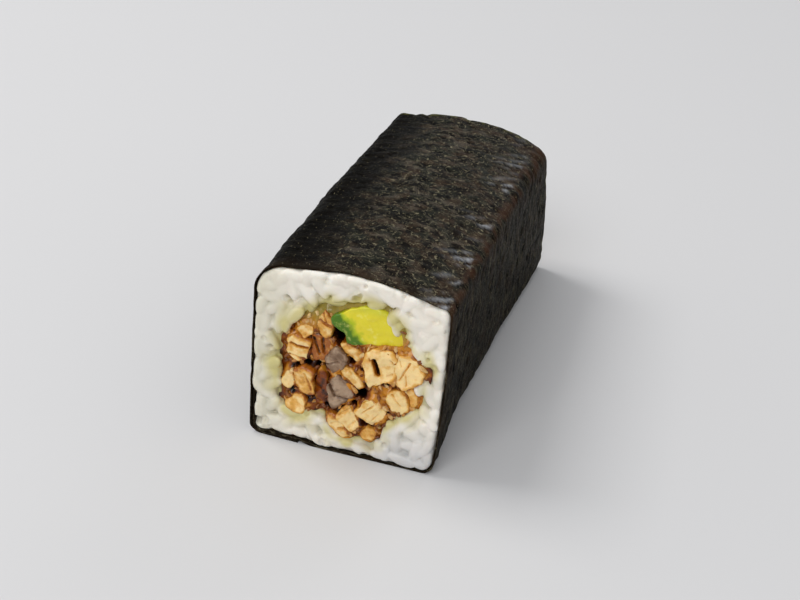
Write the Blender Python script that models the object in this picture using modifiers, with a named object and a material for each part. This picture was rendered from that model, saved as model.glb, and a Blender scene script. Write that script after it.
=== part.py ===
"""Temaki hand roll: a square bar of sushi rice round chicken and avocado, wrapped in half a sheet of nori.

Metres, +Z up. The roll lies along Y on its underside, with the end that shows at -Y. The origin is on the
underside, below the middle of the roll.
"""

import math
import random

import bmesh
import bpy
from mathutils import Matrix, Vector, noise

MM = 0.001

# The roll is about as long as half a sheet of nori is wide
ROLL_LENGTH = 101.7 * MM
SHEET_LENGTH = 180 * MM
SHEET_THICKNESS = 0.5 * MM
LAYER_GAP = 0.2 * MM
CLEARANCE = 0.3 * MM

# Cross sections of the roll from the front to the back. Each corner is (x, z, radius) in millimetres, in the
# order bottom left, bottom right, top right, top left
SECTIONS = (
    (0.0, ((-21.0, 0, 2.2), (20.2, 0, 3.0), (21.0, 38.7, 2.0), (-21.0, 40.6, 6.5))),
    (0.2, ((-21.1, 0, 2.6), (19.3, 0, 4.4), (21.0, 38.7, 2.4), (-21.3, 40.6, 6.0))),
    (0.5, ((-21.2, 0, 3.0), (20.2, 0, 4.0), (20.8, 38.5, 2.8), (-21.7, 40.5, 5.0))),
    (1.0, ((-21.5, 0, 3.0), (22.4, 0, 3.2), (20.5, 36.9, 5.0), (-22.1, 39.0, 4.2))),
)
# How far the underside, right, top and left faces swell out between their corners
SWELLS = (0.0, 0.4 * MM, 2.0 * MM, 0.2 * MM)
# How far each end leans along the roll for each step right and each step up, from the middle of the section
MIDDLE_HEIGHT = 20 * MM
FRONT_LEAN = (-0.031, 0.038)
BACK_LEAN = (-0.022, -0.066)
# Segments of each face and, after it, of each corner, in the same order
FACE_SEGMENTS = (8, 7, 8, 8)
CORNER_SEGMENTS = (3, 3, 4, 3)
SMALLEST_RADIUS = 0.8 * MM
# A place round the roll is a ring coordinate: 0 to 8 once round, even steps for the faces (underside, right,
# top and left) and odd steps for the corners that follow them
TURN = 8
TOP = 4
LEFT = 6

SHEET_START = LEFT + 6 / 8  # the covered edge of the sheet, low on the left face
RELEASE_WIDTH = 3 * MM  # where the lower layer comes back out from under the flap
SHEET_STATIONS = 14
# How far the sheet's ends stand past the roll's ends at ring coordinates round the roll, in millimetres
FRONT_EDGE = ((0, 0.0), (4, 0.0), (4.5, -0.7), (5, 0.0), (8, 0.0))
BACK_EDGE = (
    (0, -0.4), (2, 0.6), (3, -0.3), (4, -0.9), (4.15, 0.8), (4.38, 1.0), (4.5, 0.0), (4.56, 1.6), (5, 0.6),
    (6, 0.4), (8, -0.4),
)
EDGE_RIPPLE = 0.2 * MM
RELIEF_HEIGHT = 0.22 * MM
RELIEF_GRAIN = 6 * MM

# The bare core's ends, before grains are laid on them, and how its rims round off
RICE_FRONT_RECESS = 0.2 * MM
RICE_BACK_RECESS = 1.6 * MM
RICE_RIM = ((0.0, 0.6 * MM), (0.8 * MM, 0.15 * MM), (2.4 * MM, 0.0))
RICE_STATIONS = 10
GRAIN_LENGTH = 6.2 * MM
GRAIN_WIDTH = 2.8 * MM
GRAIN_SPACING = 3.35 * MM
GRAIN_PROUD = 1.1 * MM
GRAIN_TRIES = 24
GRAIN_STRAY = 1.3 * MM
SHORT_GRAIN = 0.62
GRAIN_TILT = math.radians(12)
GRAIN_FIELD = 44 * MM

CHUNK_SIDES = 12
CHUNK_STATIONS = 5
PACKING = 1.28  # how much wider than it shows a piece may press out before it meets its neighbours
CHANNEL_SIDES = 64
CUTTER_STRETCH = 1.15
FILLING_CENTRE = (0.0, 19.5 * MM)
FILLING_PROUD = 0.9 * MM
SWAY = (0.5 * MM, 0.35 * MM)

# Pieces of filling, each a strip through the roll: name, x, z, width, height, turn in degrees, and how far
# its front end lies behind the foremost of the filling, in millimetres
CHUNKS = (
    ("chicken_01", -5.6, 29.6, 3.9, 6.2, 0, 1.6),
    ("chicken_02", -10.0, 27.3, 4.8, 3.7, -10, 1.2),
    ("chicken_03", -6.4, 23.6, 4.2, 5.2, 0, 1.8),
    ("chicken_04", -11.1, 22.3, 5.0, 5.8, 0, 0.9),
    ("chicken_05", -9.4, 15.6, 4.8, 6.6, 12, 0.5),
    ("chicken_06", -13.2, 14.9, 2.9, 4.4, 0, 1.3),
    ("chicken_07", -10.8, 9.9, 4.5, 4.3, 0, 0.7),
    ("chicken_08", 1.7, 18.7, 3.6, 4.8, 38, 0.9),
    ("chicken_09", 0.9, 24.4, 4.4, 3.2, -15, 1.3),
    ("chicken_10", 7.2, 22.9, 7.0, 7.2, 0, 0.2),
    ("chicken_11", 13.3, 22.7, 5.4, 6.8, 0, 0.6),
    ("chicken_12", 6.0, 11.9, 6.8, 5.6, -22, 0.3),
    ("chicken_13", 11.2, 15.2, 5.2, 5.2, 20, 0.8),
    ("chicken_14", 1.5, 9.2, 4.4, 6.0, 22, 0.4),
    ("chicken_15", -1.5, 6.5, 3.3, 5.0, 20, 0.9),
    ("chicken_16", 5.7, 6.1, 3.4, 2.8, 0, 1.5),
    ("chicken_17", 14.3, 17.1, 2.6, 3.2, 0, 1.4),
    ("dark_meat_1", -2.4, 21.9, 4.4, 5.8, -22, 0.3),
    ("dark_meat_2", -1.3, 14.9, 6.8, 5.8, 0, 0.2),
    ("sauce", -5.7, 14.8, 3.2, 8.6, 0, 1.5),
)
# The avocado slice's outline, skin side first, in millimetres
AVOCADO_CORNERS = (
    (0.6, 26.7), (-1.1, 28.9), (-4.0, 32.4), (0.6, 34.9), (6.0, 35.9), (10.1, 33.1), (11.9, 28.5),
    (7.0, 27.7),
)
AVOCADO_CORNER_CUT = 0.22
AVOCADO_RECESS = 1.2 * MM

# The ends of a strip: a low bevel round the rim, and how rough the end is
CAP_INSET = 0.6 * MM
CAP_RISE = 0.25 * MM
CAP_ROUGHNESS = 0.35 * MM

COLOURS = {
    "nori": ((0.016, 0.014, 0.012), 0.45),
    "rice": ((0.78, 0.76, 0.69), 0.5),
    "chicken": ((0.72, 0.47, 0.22), 0.5),
    "dark_meat": ((0.24, 0.16, 0.11), 0.5),
    "sauce": ((0.07, 0.02, 0.008), 0.2),
    "avocado": ((0.62, 0.55, 0.05), 0.35),
}


def clear_scene():
    for item in list(bpy.data.objects):
        bpy.data.objects.remove(item)


def material(name):
    """The plain finish of one kind of food."""
    found = bpy.data.materials.get(name)
    if found:
        return found
    made = bpy.data.materials.new(name)
    made.use_nodes = True
    shader = made.node_tree.nodes["Principled BSDF"]
    colour, roughness = COLOURS[name]
    shader.inputs["Base Color"].default_value = (*colour, 1)
    shader.inputs["Roughness"].default_value = roughness
    shader.inputs["Metallic"].default_value = 0
    return made


def collection(name, hidden=False):
    made = bpy.data.collections.new(name)
    made.hide_render = hidden
    bpy.context.scene.collection.children.link(made)
    return made


def add_object(name, bm, finish, group):
    mesh = bpy.data.meshes.new(name)
    bm.to_mesh(mesh)
    bm.free()
    mesh.shade_smooth()
    mesh.set_sharp_from_angle(angle=math.radians(40))
    made = bpy.data.objects.new(name, mesh)
    group.objects.link(made)
    if finish:
        mesh.materials.append(material(finish))
    return made


def smooth_step(value):
    value = min(1, max(0, value))
    return value * value * (3 - 2 * value)


def corners_at(y):
    """The section's four corners as (point, radius) at this place along the roll, in metres."""
    share = min(1, max(0, y / ROLL_LENGTH + 0.5))
    for (start, before), (end, after) in zip(SECTIONS, SECTIONS[1:]):
        if share <= end:
            mix = smooth_step((share - start) / (end - start))
            blended = [Vector(a).lerp(Vector(b), mix) * MM for a, b in zip(before, after)]
            return [(Vector((c.x, c.y)), c.z) for c in blended]


def ring_point(q, y, inset=0.0):
    """The point and outward normal at ring coordinate q, each as (x, z), this deep below the surface."""
    corners = corners_at(y)
    step = int(q % TURN)
    along = q % TURN - step
    side = step // 2
    points = [corners[(side + k) % 4][0] for k in range(-1, 3)]
    ahead = [(b - a).normalized() for a, b in zip(points, points[1:])]
    normals = [Vector((d.y, -d.x)) for d in ahead]

    def rounding(k):
        """A corner's radius, how far it eats into the face ahead of it, and the sharp corner's place."""
        before, after = normals[k], normals[k + 1]
        radius = max(corners[(side + k) % 4][1] - inset, SMALLEST_RADIUS)
        sharp = points[k + 1] - (before + after) * inset / (1 + before.dot(after))
        return radius, radius * math.tan(before.angle(after) / 2), sharp

    last_radius, last_cut, last_sharp = rounding(1)
    if step % 2 == 0:
        _, first_cut, first_sharp = rounding(0)
        first = first_sharp + ahead[1] * first_cut
        last = last_sharp - ahead[1] * last_cut
        swell = SWELLS[side] * math.sin(math.pi * along)
        return first.lerp(last, along) + normals[1] * swell, normals[1]
    centre = last_sharp - ahead[1] * last_cut - normals[1] * last_radius
    turned = normals[1].slerp(normals[2], along)
    return centre + turned * last_radius, turned


def relief(q, y):
    """How far the grains below push the sheet out. The underside stays flat."""
    raised = smooth_step(2 * (q % TURN - 1)) * smooth_step(2 * (TURN - 1 - q % TURN))
    point, _ = ring_point(q, y)
    bump = noise.noise(Vector((point.x, y, point.y)) / RELIEF_GRAIN)
    return RELIEF_HEIGHT * raised * bump


def ring_columns():
    """The ring coordinates of the roll's facets, once round from the left of the underside."""
    columns = []
    for side, (face, corner) in enumerate(zip(FACE_SEGMENTS, CORNER_SEGMENTS)):
        columns += [2 * side + k / face for k in range(face)]
        columns += [2 * side + 1 + k / corner for k in range(corner)]
    return columns


def sheet_columns():
    """The ring coordinates that the sheet passes, from its covered edge to the edge of its flap."""
    columns = [q + TURN * lap for lap in range(3) for q in ring_columns()]
    columns = [q for q in columns if q >= SHEET_START]
    length = 0.0
    for k, (a, b) in enumerate(zip(columns, columns[1:])):
        length += (ring_point(b, 0)[0] - ring_point(a, 0)[0]).length
        if length > SHEET_LENGTH:
            return columns[:k + 1]


def lower_layer(q, flap_end):
    """1 where the sheet lies under its own flap, 0 where it is the outer layer."""
    q = q % TURN
    if q >= SHEET_START or q <= flap_end:
        return 1.0
    width = abs(ring_point(1, 0)[0].x - ring_point(0, 0)[0].x)
    return 1 - smooth_step((q - flap_end) * width / RELEASE_WIDTH)


def end_of_roll(point, outward):
    """Where the roll ends along Y at a point of its section. outward is -1 at the front and 1 at the back."""
    right, up = FRONT_LEAN if outward < 0 else BACK_LEAN
    return outward * ROLL_LENGTH / 2 + right * point.x + up * (point.y - MIDDLE_HEIGHT)


def between_ends(point, share, front_recess=0.0, back_recess=0.0):
    """The place along Y at this share of the way from one end of the roll to the other."""
    front = end_of_roll(point, -1) + front_recess
    back = end_of_roll(point, 1) - back_recess
    return front + (back - front) * share


def sheet_edge(table, q):
    """How far past the roll's end the sheet stands at ring coordinate q."""
    q = q % TURN
    for (before, start), (after, end) in zip(table, table[1:]):
        if q <= after:
            stand = start + (end - start) * smooth_step((q - before) / (after - before))
            return stand * MM + EDGE_RIPPLE * math.sin(4.7 * q)


def tube(rows, columns, place, closed):
    """A grid of columns by rows, each vertex put in place by its whole-numbered column and row."""
    bm = bmesh.new()
    bmesh.ops.create_grid(bm, x_segments=columns, y_segments=rows, size=0.5)
    for vertex in bm.verts:
        column = round((vertex.co.x + 0.5) * columns)
        row = round((vertex.co.y + 0.5) * rows)
        vertex.co = place(column % columns if closed else column, row)
    if closed:
        bmesh.ops.remove_doubles(bm, verts=bm.verts, dist=1e-6)
        bmesh.ops.holes_fill(bm, edges=[e for e in bm.edges if e.is_boundary], sides=0)
        bmesh.ops.recalc_face_normals(bm, faces=bm.faces)
    return bm


def build_nori(group):
    """The sheet, rolled once round the rice and on under its own flap."""
    columns = sheet_columns()
    flap_end = columns[-1] % TURN

    def place(column, row):
        q = columns[column]
        recesses = -sheet_edge(FRONT_EDGE, q), -sheet_edge(BACK_EDGE, q)
        y = between_ends(ring_point(q, 0)[0], row / SHEET_STATIONS, *recesses)
        point, normal = ring_point(q, y)
        covered = lower_layer(q, flap_end) if q < SHEET_START + TURN / 2 else 0
        depth = covered * (SHEET_THICKNESS + LAYER_GAP) - relief(q, y)
        point = point - normal * depth
        return Vector((point.x, y, point.y))

    bm = tube(SHEET_STATIONS, len(columns) - 1, place, closed=False)
    bm.normal_update()
    bm.faces.ensure_lookup_table()
    if bm.faces[0].normal.x > 0:
        bmesh.ops.reverse_faces(bm, faces=bm.faces)
    made = add_object("nori", bm, "nori", group)
    solidify = made.modifiers.new("thickness", "SOLIDIFY")
    solidify.thickness = SHEET_THICKNESS
    solidify.offset = -1
    return flap_end


def sway(y):
    """The filling's slight wander along the roll, none at the front."""
    share = y / ROLL_LENGTH + 0.5
    return Vector((SWAY[0] * math.sin(3.4 * share), SWAY[1] * math.sin(2.3 * math.pi * share)))


def clipped(outline, point, normal):
    """The part of a convex outline behind the line through point that faces along normal."""
    kept = []
    for a, b in zip(outline, outline[1:] + outline[:1]):
        height_a, height_b = (a - point).dot(normal), (b - point).dot(normal)
        if height_a <= 0:
            kept.append(a)
        if (height_a < 0) != (height_b < 0) and height_a != height_b:
            kept.append(a.lerp(b, height_a / (height_a - height_b)))
    return kept


def avocado_outline():
    """The slice's corners, each cut off once to round it."""
    corners = [Vector(c) * MM for c in AVOCADO_CORNERS]
    outline = []
    for a, b in zip(corners, corners[1:] + corners[:1]):
        outline += [a.lerp(b, AVOCADO_CORNER_CUT), b.lerp(a, AVOCADO_CORNER_CUT)]
    return outline[::-1]


def parting_line(centre, outline):
    """The edge of an outline that stands furthest between it and centre, as (point, normal towards it)."""
    best = None
    for a, b in zip(outline, outline[1:] + outline[:1]):
        direction = (b - a).normalized()
        outward = Vector((direction.y, -direction.x))
        height = (centre - a).dot(outward)
        if best is None or height > best[0]:
            best = (height, a, -outward)
    return best[1], best[2]


def chunk_outline(chunk):
    """A rough ellipse, flattened where the piece is pressed against its neighbours."""
    name, x, z, width, height, turn, _ = chunk
    centre = Vector((x, z)) * MM
    rough = random.Random(name)
    spin = Matrix.Rotation(math.radians(turn), 2)
    outline = []
    for k in range(CHUNK_SIDES):
        angle = math.tau * (k + rough.uniform(-0.25, 0.25)) / CHUNK_SIDES
        reach = rough.uniform(0.94, 1.06) * PACKING * MM / 2
        outline.append(centre + spin @ Vector((width * math.cos(angle), height * math.sin(angle))) * reach)
    size = math.sqrt(width * height) * MM / 2
    for other in CHUNKS:
        if other[0] == name:
            continue
        apart = Vector(other[1:3]) * MM - centre
        other_size = math.sqrt(other[3] * other[4]) * MM / 2
        share = (apart.length_squared + size ** 2 - other_size ** 2) / (2 * apart.length_squared)
        towards = apart.normalized()
        outline = clipped(outline, centre + apart * share - towards * CLEARANCE / 2, towards)
    point, normal = parting_line(centre, avocado_outline())
    return clipped(outline, point - normal * CLEARANCE, normal)


def spaced(outline, count):
    """count points spread evenly along an outline, from its rightmost point."""
    start = max(range(len(outline)), key=lambda k: outline[k].x)
    outline = outline[start:] + outline[:start + 1]
    lengths = [(b - a).length for a, b in zip(outline, outline[1:])]
    points = []
    for k in range(count):
        left = sum(lengths) * k / count
        edge = 0
        while left > lengths[edge]:
            left -= lengths[edge]
            edge += 1
        points.append(outline[edge].lerp(outline[edge + 1], left / lengths[edge]))
    return points


def build_strip(name, outline, recess, finish, group):
    """A strip of filling along the roll, with uneven ends."""
    rough = random.Random(name)
    centre = sum(outline, Vector((0, 0))) / len(outline)
    recesses = recess - FILLING_PROUD, recess - FILLING_PROUD + RICE_BACK_RECESS

    def place(column, row):
        y = between_ends(centre, row / CHUNK_STATIONS, *recesses)
        point = outline[column] + sway(y)
        return Vector((point.x, y, point.y))

    bm = tube(CHUNK_STATIONS, len(outline), place, closed=True)
    caps = [face for face in bm.faces if len(face.verts) > 4]
    bmesh.ops.inset_individual(bm, faces=caps, thickness=CAP_INSET, depth=CAP_RISE, use_even_offset=True)
    poked = bmesh.ops.poke(bm, faces=caps)
    for vertex in poked["verts"]:
        vertex.co.y += rough.uniform(-CAP_ROUGHNESS, CAP_ROUGHNESS)
    return add_object(name, bm, finish, group)


def build_filling(group):
    """Every strip of filling. Returns the strips' outlines at the front."""
    outlines = []
    for chunk in CHUNKS:
        name, recess = chunk[0], chunk[6] * MM
        outline = chunk_outline(chunk)
        build_strip(name, spaced(outline, CHUNK_SIDES), recess, name.rstrip("_0123456789"), group)
        outlines.append(outline)
    outline = avocado_outline()
    build_strip("avocado", outline, AVOCADO_RECESS, "avocado", group)
    return outlines + [outline]


def filling_reach(angle, outlines):
    """How far the filling reaches from its centre in one direction."""
    centre = Vector(FILLING_CENTRE)
    ray = Vector((math.cos(angle), math.sin(angle)))
    reach = 0.0
    for outline in outlines:
        for a, b in zip(outline, outline[1:] + outline[:1]):
            a, b = a - centre, b - centre
            side_a, side_b = ray.cross(a), ray.cross(b)
            if side_a * side_b < 0:
                crossing = a.lerp(b, side_a / (side_a - side_b))
                reach = max(reach, crossing.dot(ray))
    return reach


def channel_outline(outlines):
    """The hole through the rice, drawn closely round the filling."""
    step = math.tau / CHANNEL_SIDES
    sweep = [step * d / 3 for d in range(-2, 3)]
    reaches = [max(filling_reach(step * k + d, outlines) for d in sweep) for k in range(CHANNEL_SIDES)]
    centre = Vector(FILLING_CENTRE)
    return [
        centre + Vector((math.cos(step * k), math.sin(step * k))) * (reach + 1.5 * CLEARANCE)
        for k, reach in enumerate(reaches)
    ]


def inside(point, outline):
    """Whether a point lies in a closed outline."""
    within = False
    for a, b in zip(outline, outline[1:] + outline[:1]):
        if (a.y > point.y) != (b.y > point.y):
            if point.x < a.x + (b.x - a.x) * (point.y - a.y) / (b.y - a.y):
                within = not within
    return within


def grain_places(rice_edge, channel, seed):
    """Where grains lie on an end of the rice, as (x, z, turn, tilt, length share)."""
    scatter = random.Random(seed)
    places = []
    row_height = GRAIN_SPACING * math.sin(math.pi / 3)
    columns, rows = round(GRAIN_FIELD / GRAIN_SPACING), round(GRAIN_FIELD / row_height)
    for row in range(rows):
        for column in range(columns):
            lattice = Vector(((column - columns / 2 + 0.5 * (row % 2)) * GRAIN_SPACING, row * row_height))
            for attempt in range(GRAIN_TRIES):
                stray = Vector((scatter.uniform(-1, 1), scatter.uniform(-1, 1))) * GRAIN_STRAY
                turn = scatter.uniform(0, math.pi)
                share = 1.0 if attempt < GRAIN_TRIES / 2 else SHORT_GRAIN
                if grain_fits(lattice + stray, turn, share, rice_edge, channel):
                    places.append((*(lattice + stray), turn, scatter.uniform(-GRAIN_TILT, GRAIN_TILT), share))
                    break
    return places


def grain_fits(centre, turn, share, rice_edge, channel):
    """Whether a grain of this length keeps clear of the sheet outside it and the filling inside it."""
    along = Vector((math.cos(turn), math.sin(turn))) * GRAIN_LENGTH / 2 * share
    across = Vector((-math.sin(turn), math.cos(turn))) * GRAIN_WIDTH / 2
    angles = [k * math.tau / 12 for k in range(12)]
    rim = [centre + along * math.cos(a) + across * math.sin(a) for a in angles]
    return all(inside(p, rice_edge) and not inside(p, channel) for p in rim)


def add_grains(outward, rice_edge, channel, grain_mesh, group):
    """Lays grains on one end of the rice. outward is -1 at the front and 1 at the back."""
    sunk = GRAIN_WIDTH / 2 - GRAIN_PROUD + (RICE_FRONT_RECESS if outward < 0 else RICE_BACK_RECESS)
    for number, (x, z, turn, tilt, share) in enumerate(grain_places(rice_edge, channel, f"grains {outward}")):
        made = bpy.data.objects.new(f"grain_{outward}_{number}", grain_mesh)
        made.matrix_world = (
            Matrix.Translation((x, end_of_roll(Vector((x, z)), outward) - outward * sunk, z))
            @ Matrix.Rotation(-turn, 4, "Y")
            @ Matrix.Rotation(tilt, 4, "Z")
            @ Matrix.Diagonal((share, 1, 1, 1))
        )
        group.objects.link(made)


def apply_modifiers(item):
    """Puts the shape that the modifiers give into the object's mesh."""
    bpy.context.view_layer.update()
    graph = bpy.context.evaluated_depsgraph_get()
    item.data = bpy.data.meshes.new_from_object(item.evaluated_get(graph))
    item.modifiers.clear()


def keep_largest_body(item):
    """Drops what the union left loose: scraps, and any pocket that it sealed inside."""
    bm = bmesh.new()
    bm.from_mesh(item.data)
    left = set(bm.verts)
    bodies = []
    while left:
        body = {left.pop()}
        edge = set(body)
        while edge:
            edge = {e.other_vert(v) for v in edge for e in v.link_edges} - body
            body |= edge
        left -= body
        bodies.append(body)
    largest = max(bodies, key=len)
    bmesh.ops.delete(bm, geom=[v for v in bm.verts if v not in largest], context="VERTS")
    bm.to_mesh(item.data)
    bm.free()


def build_rice(flap_end, outlines, group, cutters):
    """The bar of rice: a core round the filling's channel, with its grains fused on at both ends."""
    columns = ring_columns()
    length = ROLL_LENGTH - RICE_FRONT_RECESS - RICE_BACK_RECESS
    rim_end = RICE_RIM[-1][0] / length
    stations = [(depth / length, inset) for depth, inset in RICE_RIM]
    stations += [(rim_end + (1 - 2 * rim_end) * k / RICE_STATIONS, 0.0) for k in range(1, RICE_STATIONS)]
    stations += [(1 - depth / length, inset) for depth, inset in reversed(RICE_RIM)]

    def surface(column, row, rim=True):
        share, rounded = stations[row]
        q = columns[column]
        y = between_ends(ring_point(q, 0)[0], share, RICE_FRONT_RECESS, RICE_BACK_RECESS)
        inset = SHEET_THICKNESS + RELIEF_HEIGHT + CLEARANCE + (rounded if rim else 0)
        point, normal = ring_point(q, y, inset)
        point = point - normal * lower_layer(q, flap_end) * (SHEET_THICKNESS + LAYER_GAP)
        return Vector((point.x, y, point.y))

    core = add_object("rice", tube(len(stations) - 1, len(columns), surface, closed=True), "rice", group)
    channel = channel_outline(outlines)

    def wall(column, row):
        y = ROLL_LENGTH * CUTTER_STRETCH * (row / CHUNK_STATIONS - 0.5)
        point = channel[column] + sway(y)
        return Vector((point.x, y, point.y))

    hole = add_object("channel", tube(CHUNK_STATIONS, CHANNEL_SIDES, wall, closed=True), None, cutters)
    hole.hide_render = True
    hole.display_type = "WIRE"
    cut = core.modifiers.new("channel", "BOOLEAN")
    cut.operation = "DIFFERENCE"
    cut.object = hole
    apply_modifiers(core)

    grains = collection("grains", hidden=True)
    bm = bmesh.new()
    size = Matrix.Diagonal((GRAIN_LENGTH / 2, GRAIN_WIDTH / 2, GRAIN_WIDTH / 2, 1))
    lying = Matrix.Rotation(math.pi / 2, 4, "Y")
    bmesh.ops.create_uvsphere(bm, u_segments=6, v_segments=4, radius=1, matrix=lying)
    bmesh.ops.transform(bm, matrix=size, verts=bm.verts)
    grain_mesh = bpy.data.meshes.new("grain")
    bm.to_mesh(grain_mesh)
    bm.free()
    for outward in (-1, 1):
        rim = [surface(column, 0 if outward < 0 else -1, rim=False) for column in range(len(columns))]
        edge = [Vector((p.x, p.z)) for p in rim]
        swayed = [p + sway(outward * ROLL_LENGTH / 2) for p in channel]
        add_grains(outward, edge, swayed, grain_mesh, grains)
    join = core.modifiers.new("grains", "BOOLEAN")
    join.operation = "UNION"
    join.operand_type = "COLLECTION"
    join.collection = grains
    join.solver = "MANIFOLD"
    apply_modifiers(core)
    keep_largest_body(core)
    for item in list(grains.objects):
        bpy.data.objects.remove(item)


def main():
    clear_scene()
    roll = collection("temaki_roll")
    cutters = collection("cutters", hidden=True)
    flap_end = build_nori(roll)
    outlines = build_filling(roll)
    build_rice(flap_end, outlines, roll, cutters)


main()
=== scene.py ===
"""Square roll of sushi rice in nori, with chicken, sauce and avocado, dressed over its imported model.

Metres, +Z up. The roll lies along Y on its underside, with the end that shows at -Y.
"""

import math
import random

import bmesh
import bpy
import numpy as np
from bpy.props import FloatProperty, FloatVectorProperty, IntProperty, PointerProperty
from mathutils import Matrix, Vector, noise


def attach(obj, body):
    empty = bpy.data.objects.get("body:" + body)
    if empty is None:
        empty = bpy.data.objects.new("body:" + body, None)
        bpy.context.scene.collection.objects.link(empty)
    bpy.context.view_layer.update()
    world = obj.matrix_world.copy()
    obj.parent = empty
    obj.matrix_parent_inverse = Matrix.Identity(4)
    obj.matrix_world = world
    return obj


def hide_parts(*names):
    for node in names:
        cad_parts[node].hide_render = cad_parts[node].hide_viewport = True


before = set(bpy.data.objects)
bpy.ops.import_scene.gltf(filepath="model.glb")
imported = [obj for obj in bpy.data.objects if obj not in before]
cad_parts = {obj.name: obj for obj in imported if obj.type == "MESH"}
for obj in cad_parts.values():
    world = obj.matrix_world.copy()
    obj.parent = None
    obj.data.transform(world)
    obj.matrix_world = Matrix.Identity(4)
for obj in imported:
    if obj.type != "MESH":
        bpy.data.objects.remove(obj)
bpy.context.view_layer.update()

bl_info = {
    "name": "Temaki roll",
    "version": (1, 0, 0),
    "blender": (4, 5, 0),
    "location": "3D View > Sidebar > Temaki",
    "description": "Builds a square nori-wrapped rice roll over its packed model",
    "category": "Add Mesh",
}

MM = 0.001

# The roll's sections and the lie of its sheet, by the same rule as the solids
ROLL_LENGTH = 101.7 * MM
SHEET_LENGTH = 180 * MM
SHEET_ROOM = 0.5 * MM  # what the solids leave for the sheet's thickness
LAYER_STEP = SHEET_ROOM + 0.2 * MM  # from the sheet to the flap over it
SECTIONS = (
    (0.0, ((-21.0, 0, 2.2), (20.2, 0, 3.0), (21.0, 38.7, 2.0), (-21.0, 40.6, 6.5))),
    (0.2, ((-21.1, 0, 2.6), (19.3, 0, 4.4), (21.0, 38.7, 2.4), (-21.3, 40.6, 6.0))),
    (0.5, ((-21.2, 0, 3.0), (20.2, 0, 4.0), (20.8, 38.5, 2.8), (-21.7, 40.5, 5.0))),
    (1.0, ((-21.5, 0, 3.0), (22.4, 0, 3.2), (20.5, 36.9, 5.0), (-22.1, 39.0, 4.2))),
)
SWELLS = (0.0, 0.4 * MM, 2.0 * MM, 0.2 * MM)
MIDDLE_HEIGHT = 20 * MM
FRONT_LEAN = (-0.031, 0.038)
BACK_LEAN = (-0.022, -0.066)
SMALLEST_RADIUS = 0.8 * MM
TURN = 8
FINE_RING = 0.01  # step of ring coordinates with which lengths are measured
MOST_TURN = 12  # the sheet goes round this far at the most
SHEET_START = 6.75
FLAP_END = 0.25
RELEASE_WIDTH = 3 * MM
FRONT_EDGE = ((0, 0.0), (4, 0.0), (4.5, -0.7), (5, 0.0), (8, 0.0))
BACK_EDGE = (
    (0, -0.4), (2, 0.6), (3, -0.3), (4, -0.9), (4.15, 0.8), (4.38, 1.0), (4.5, 0.0), (4.56, 1.6), (5, 0.6),
    (6, 0.4), (8, -0.4),
)
EDGE_RIPPLE = 0.2 * MM
RELIEF_HEIGHT = 0.22 * MM
RELIEF_GRAIN = 6 * MM
SWAY = (0.5 * MM, 0.35 * MM)
RICE_BACK_RECESS = 1.4 * MM
SAME_PLACE = 1e-6  # vertices closer than this are one

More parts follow.
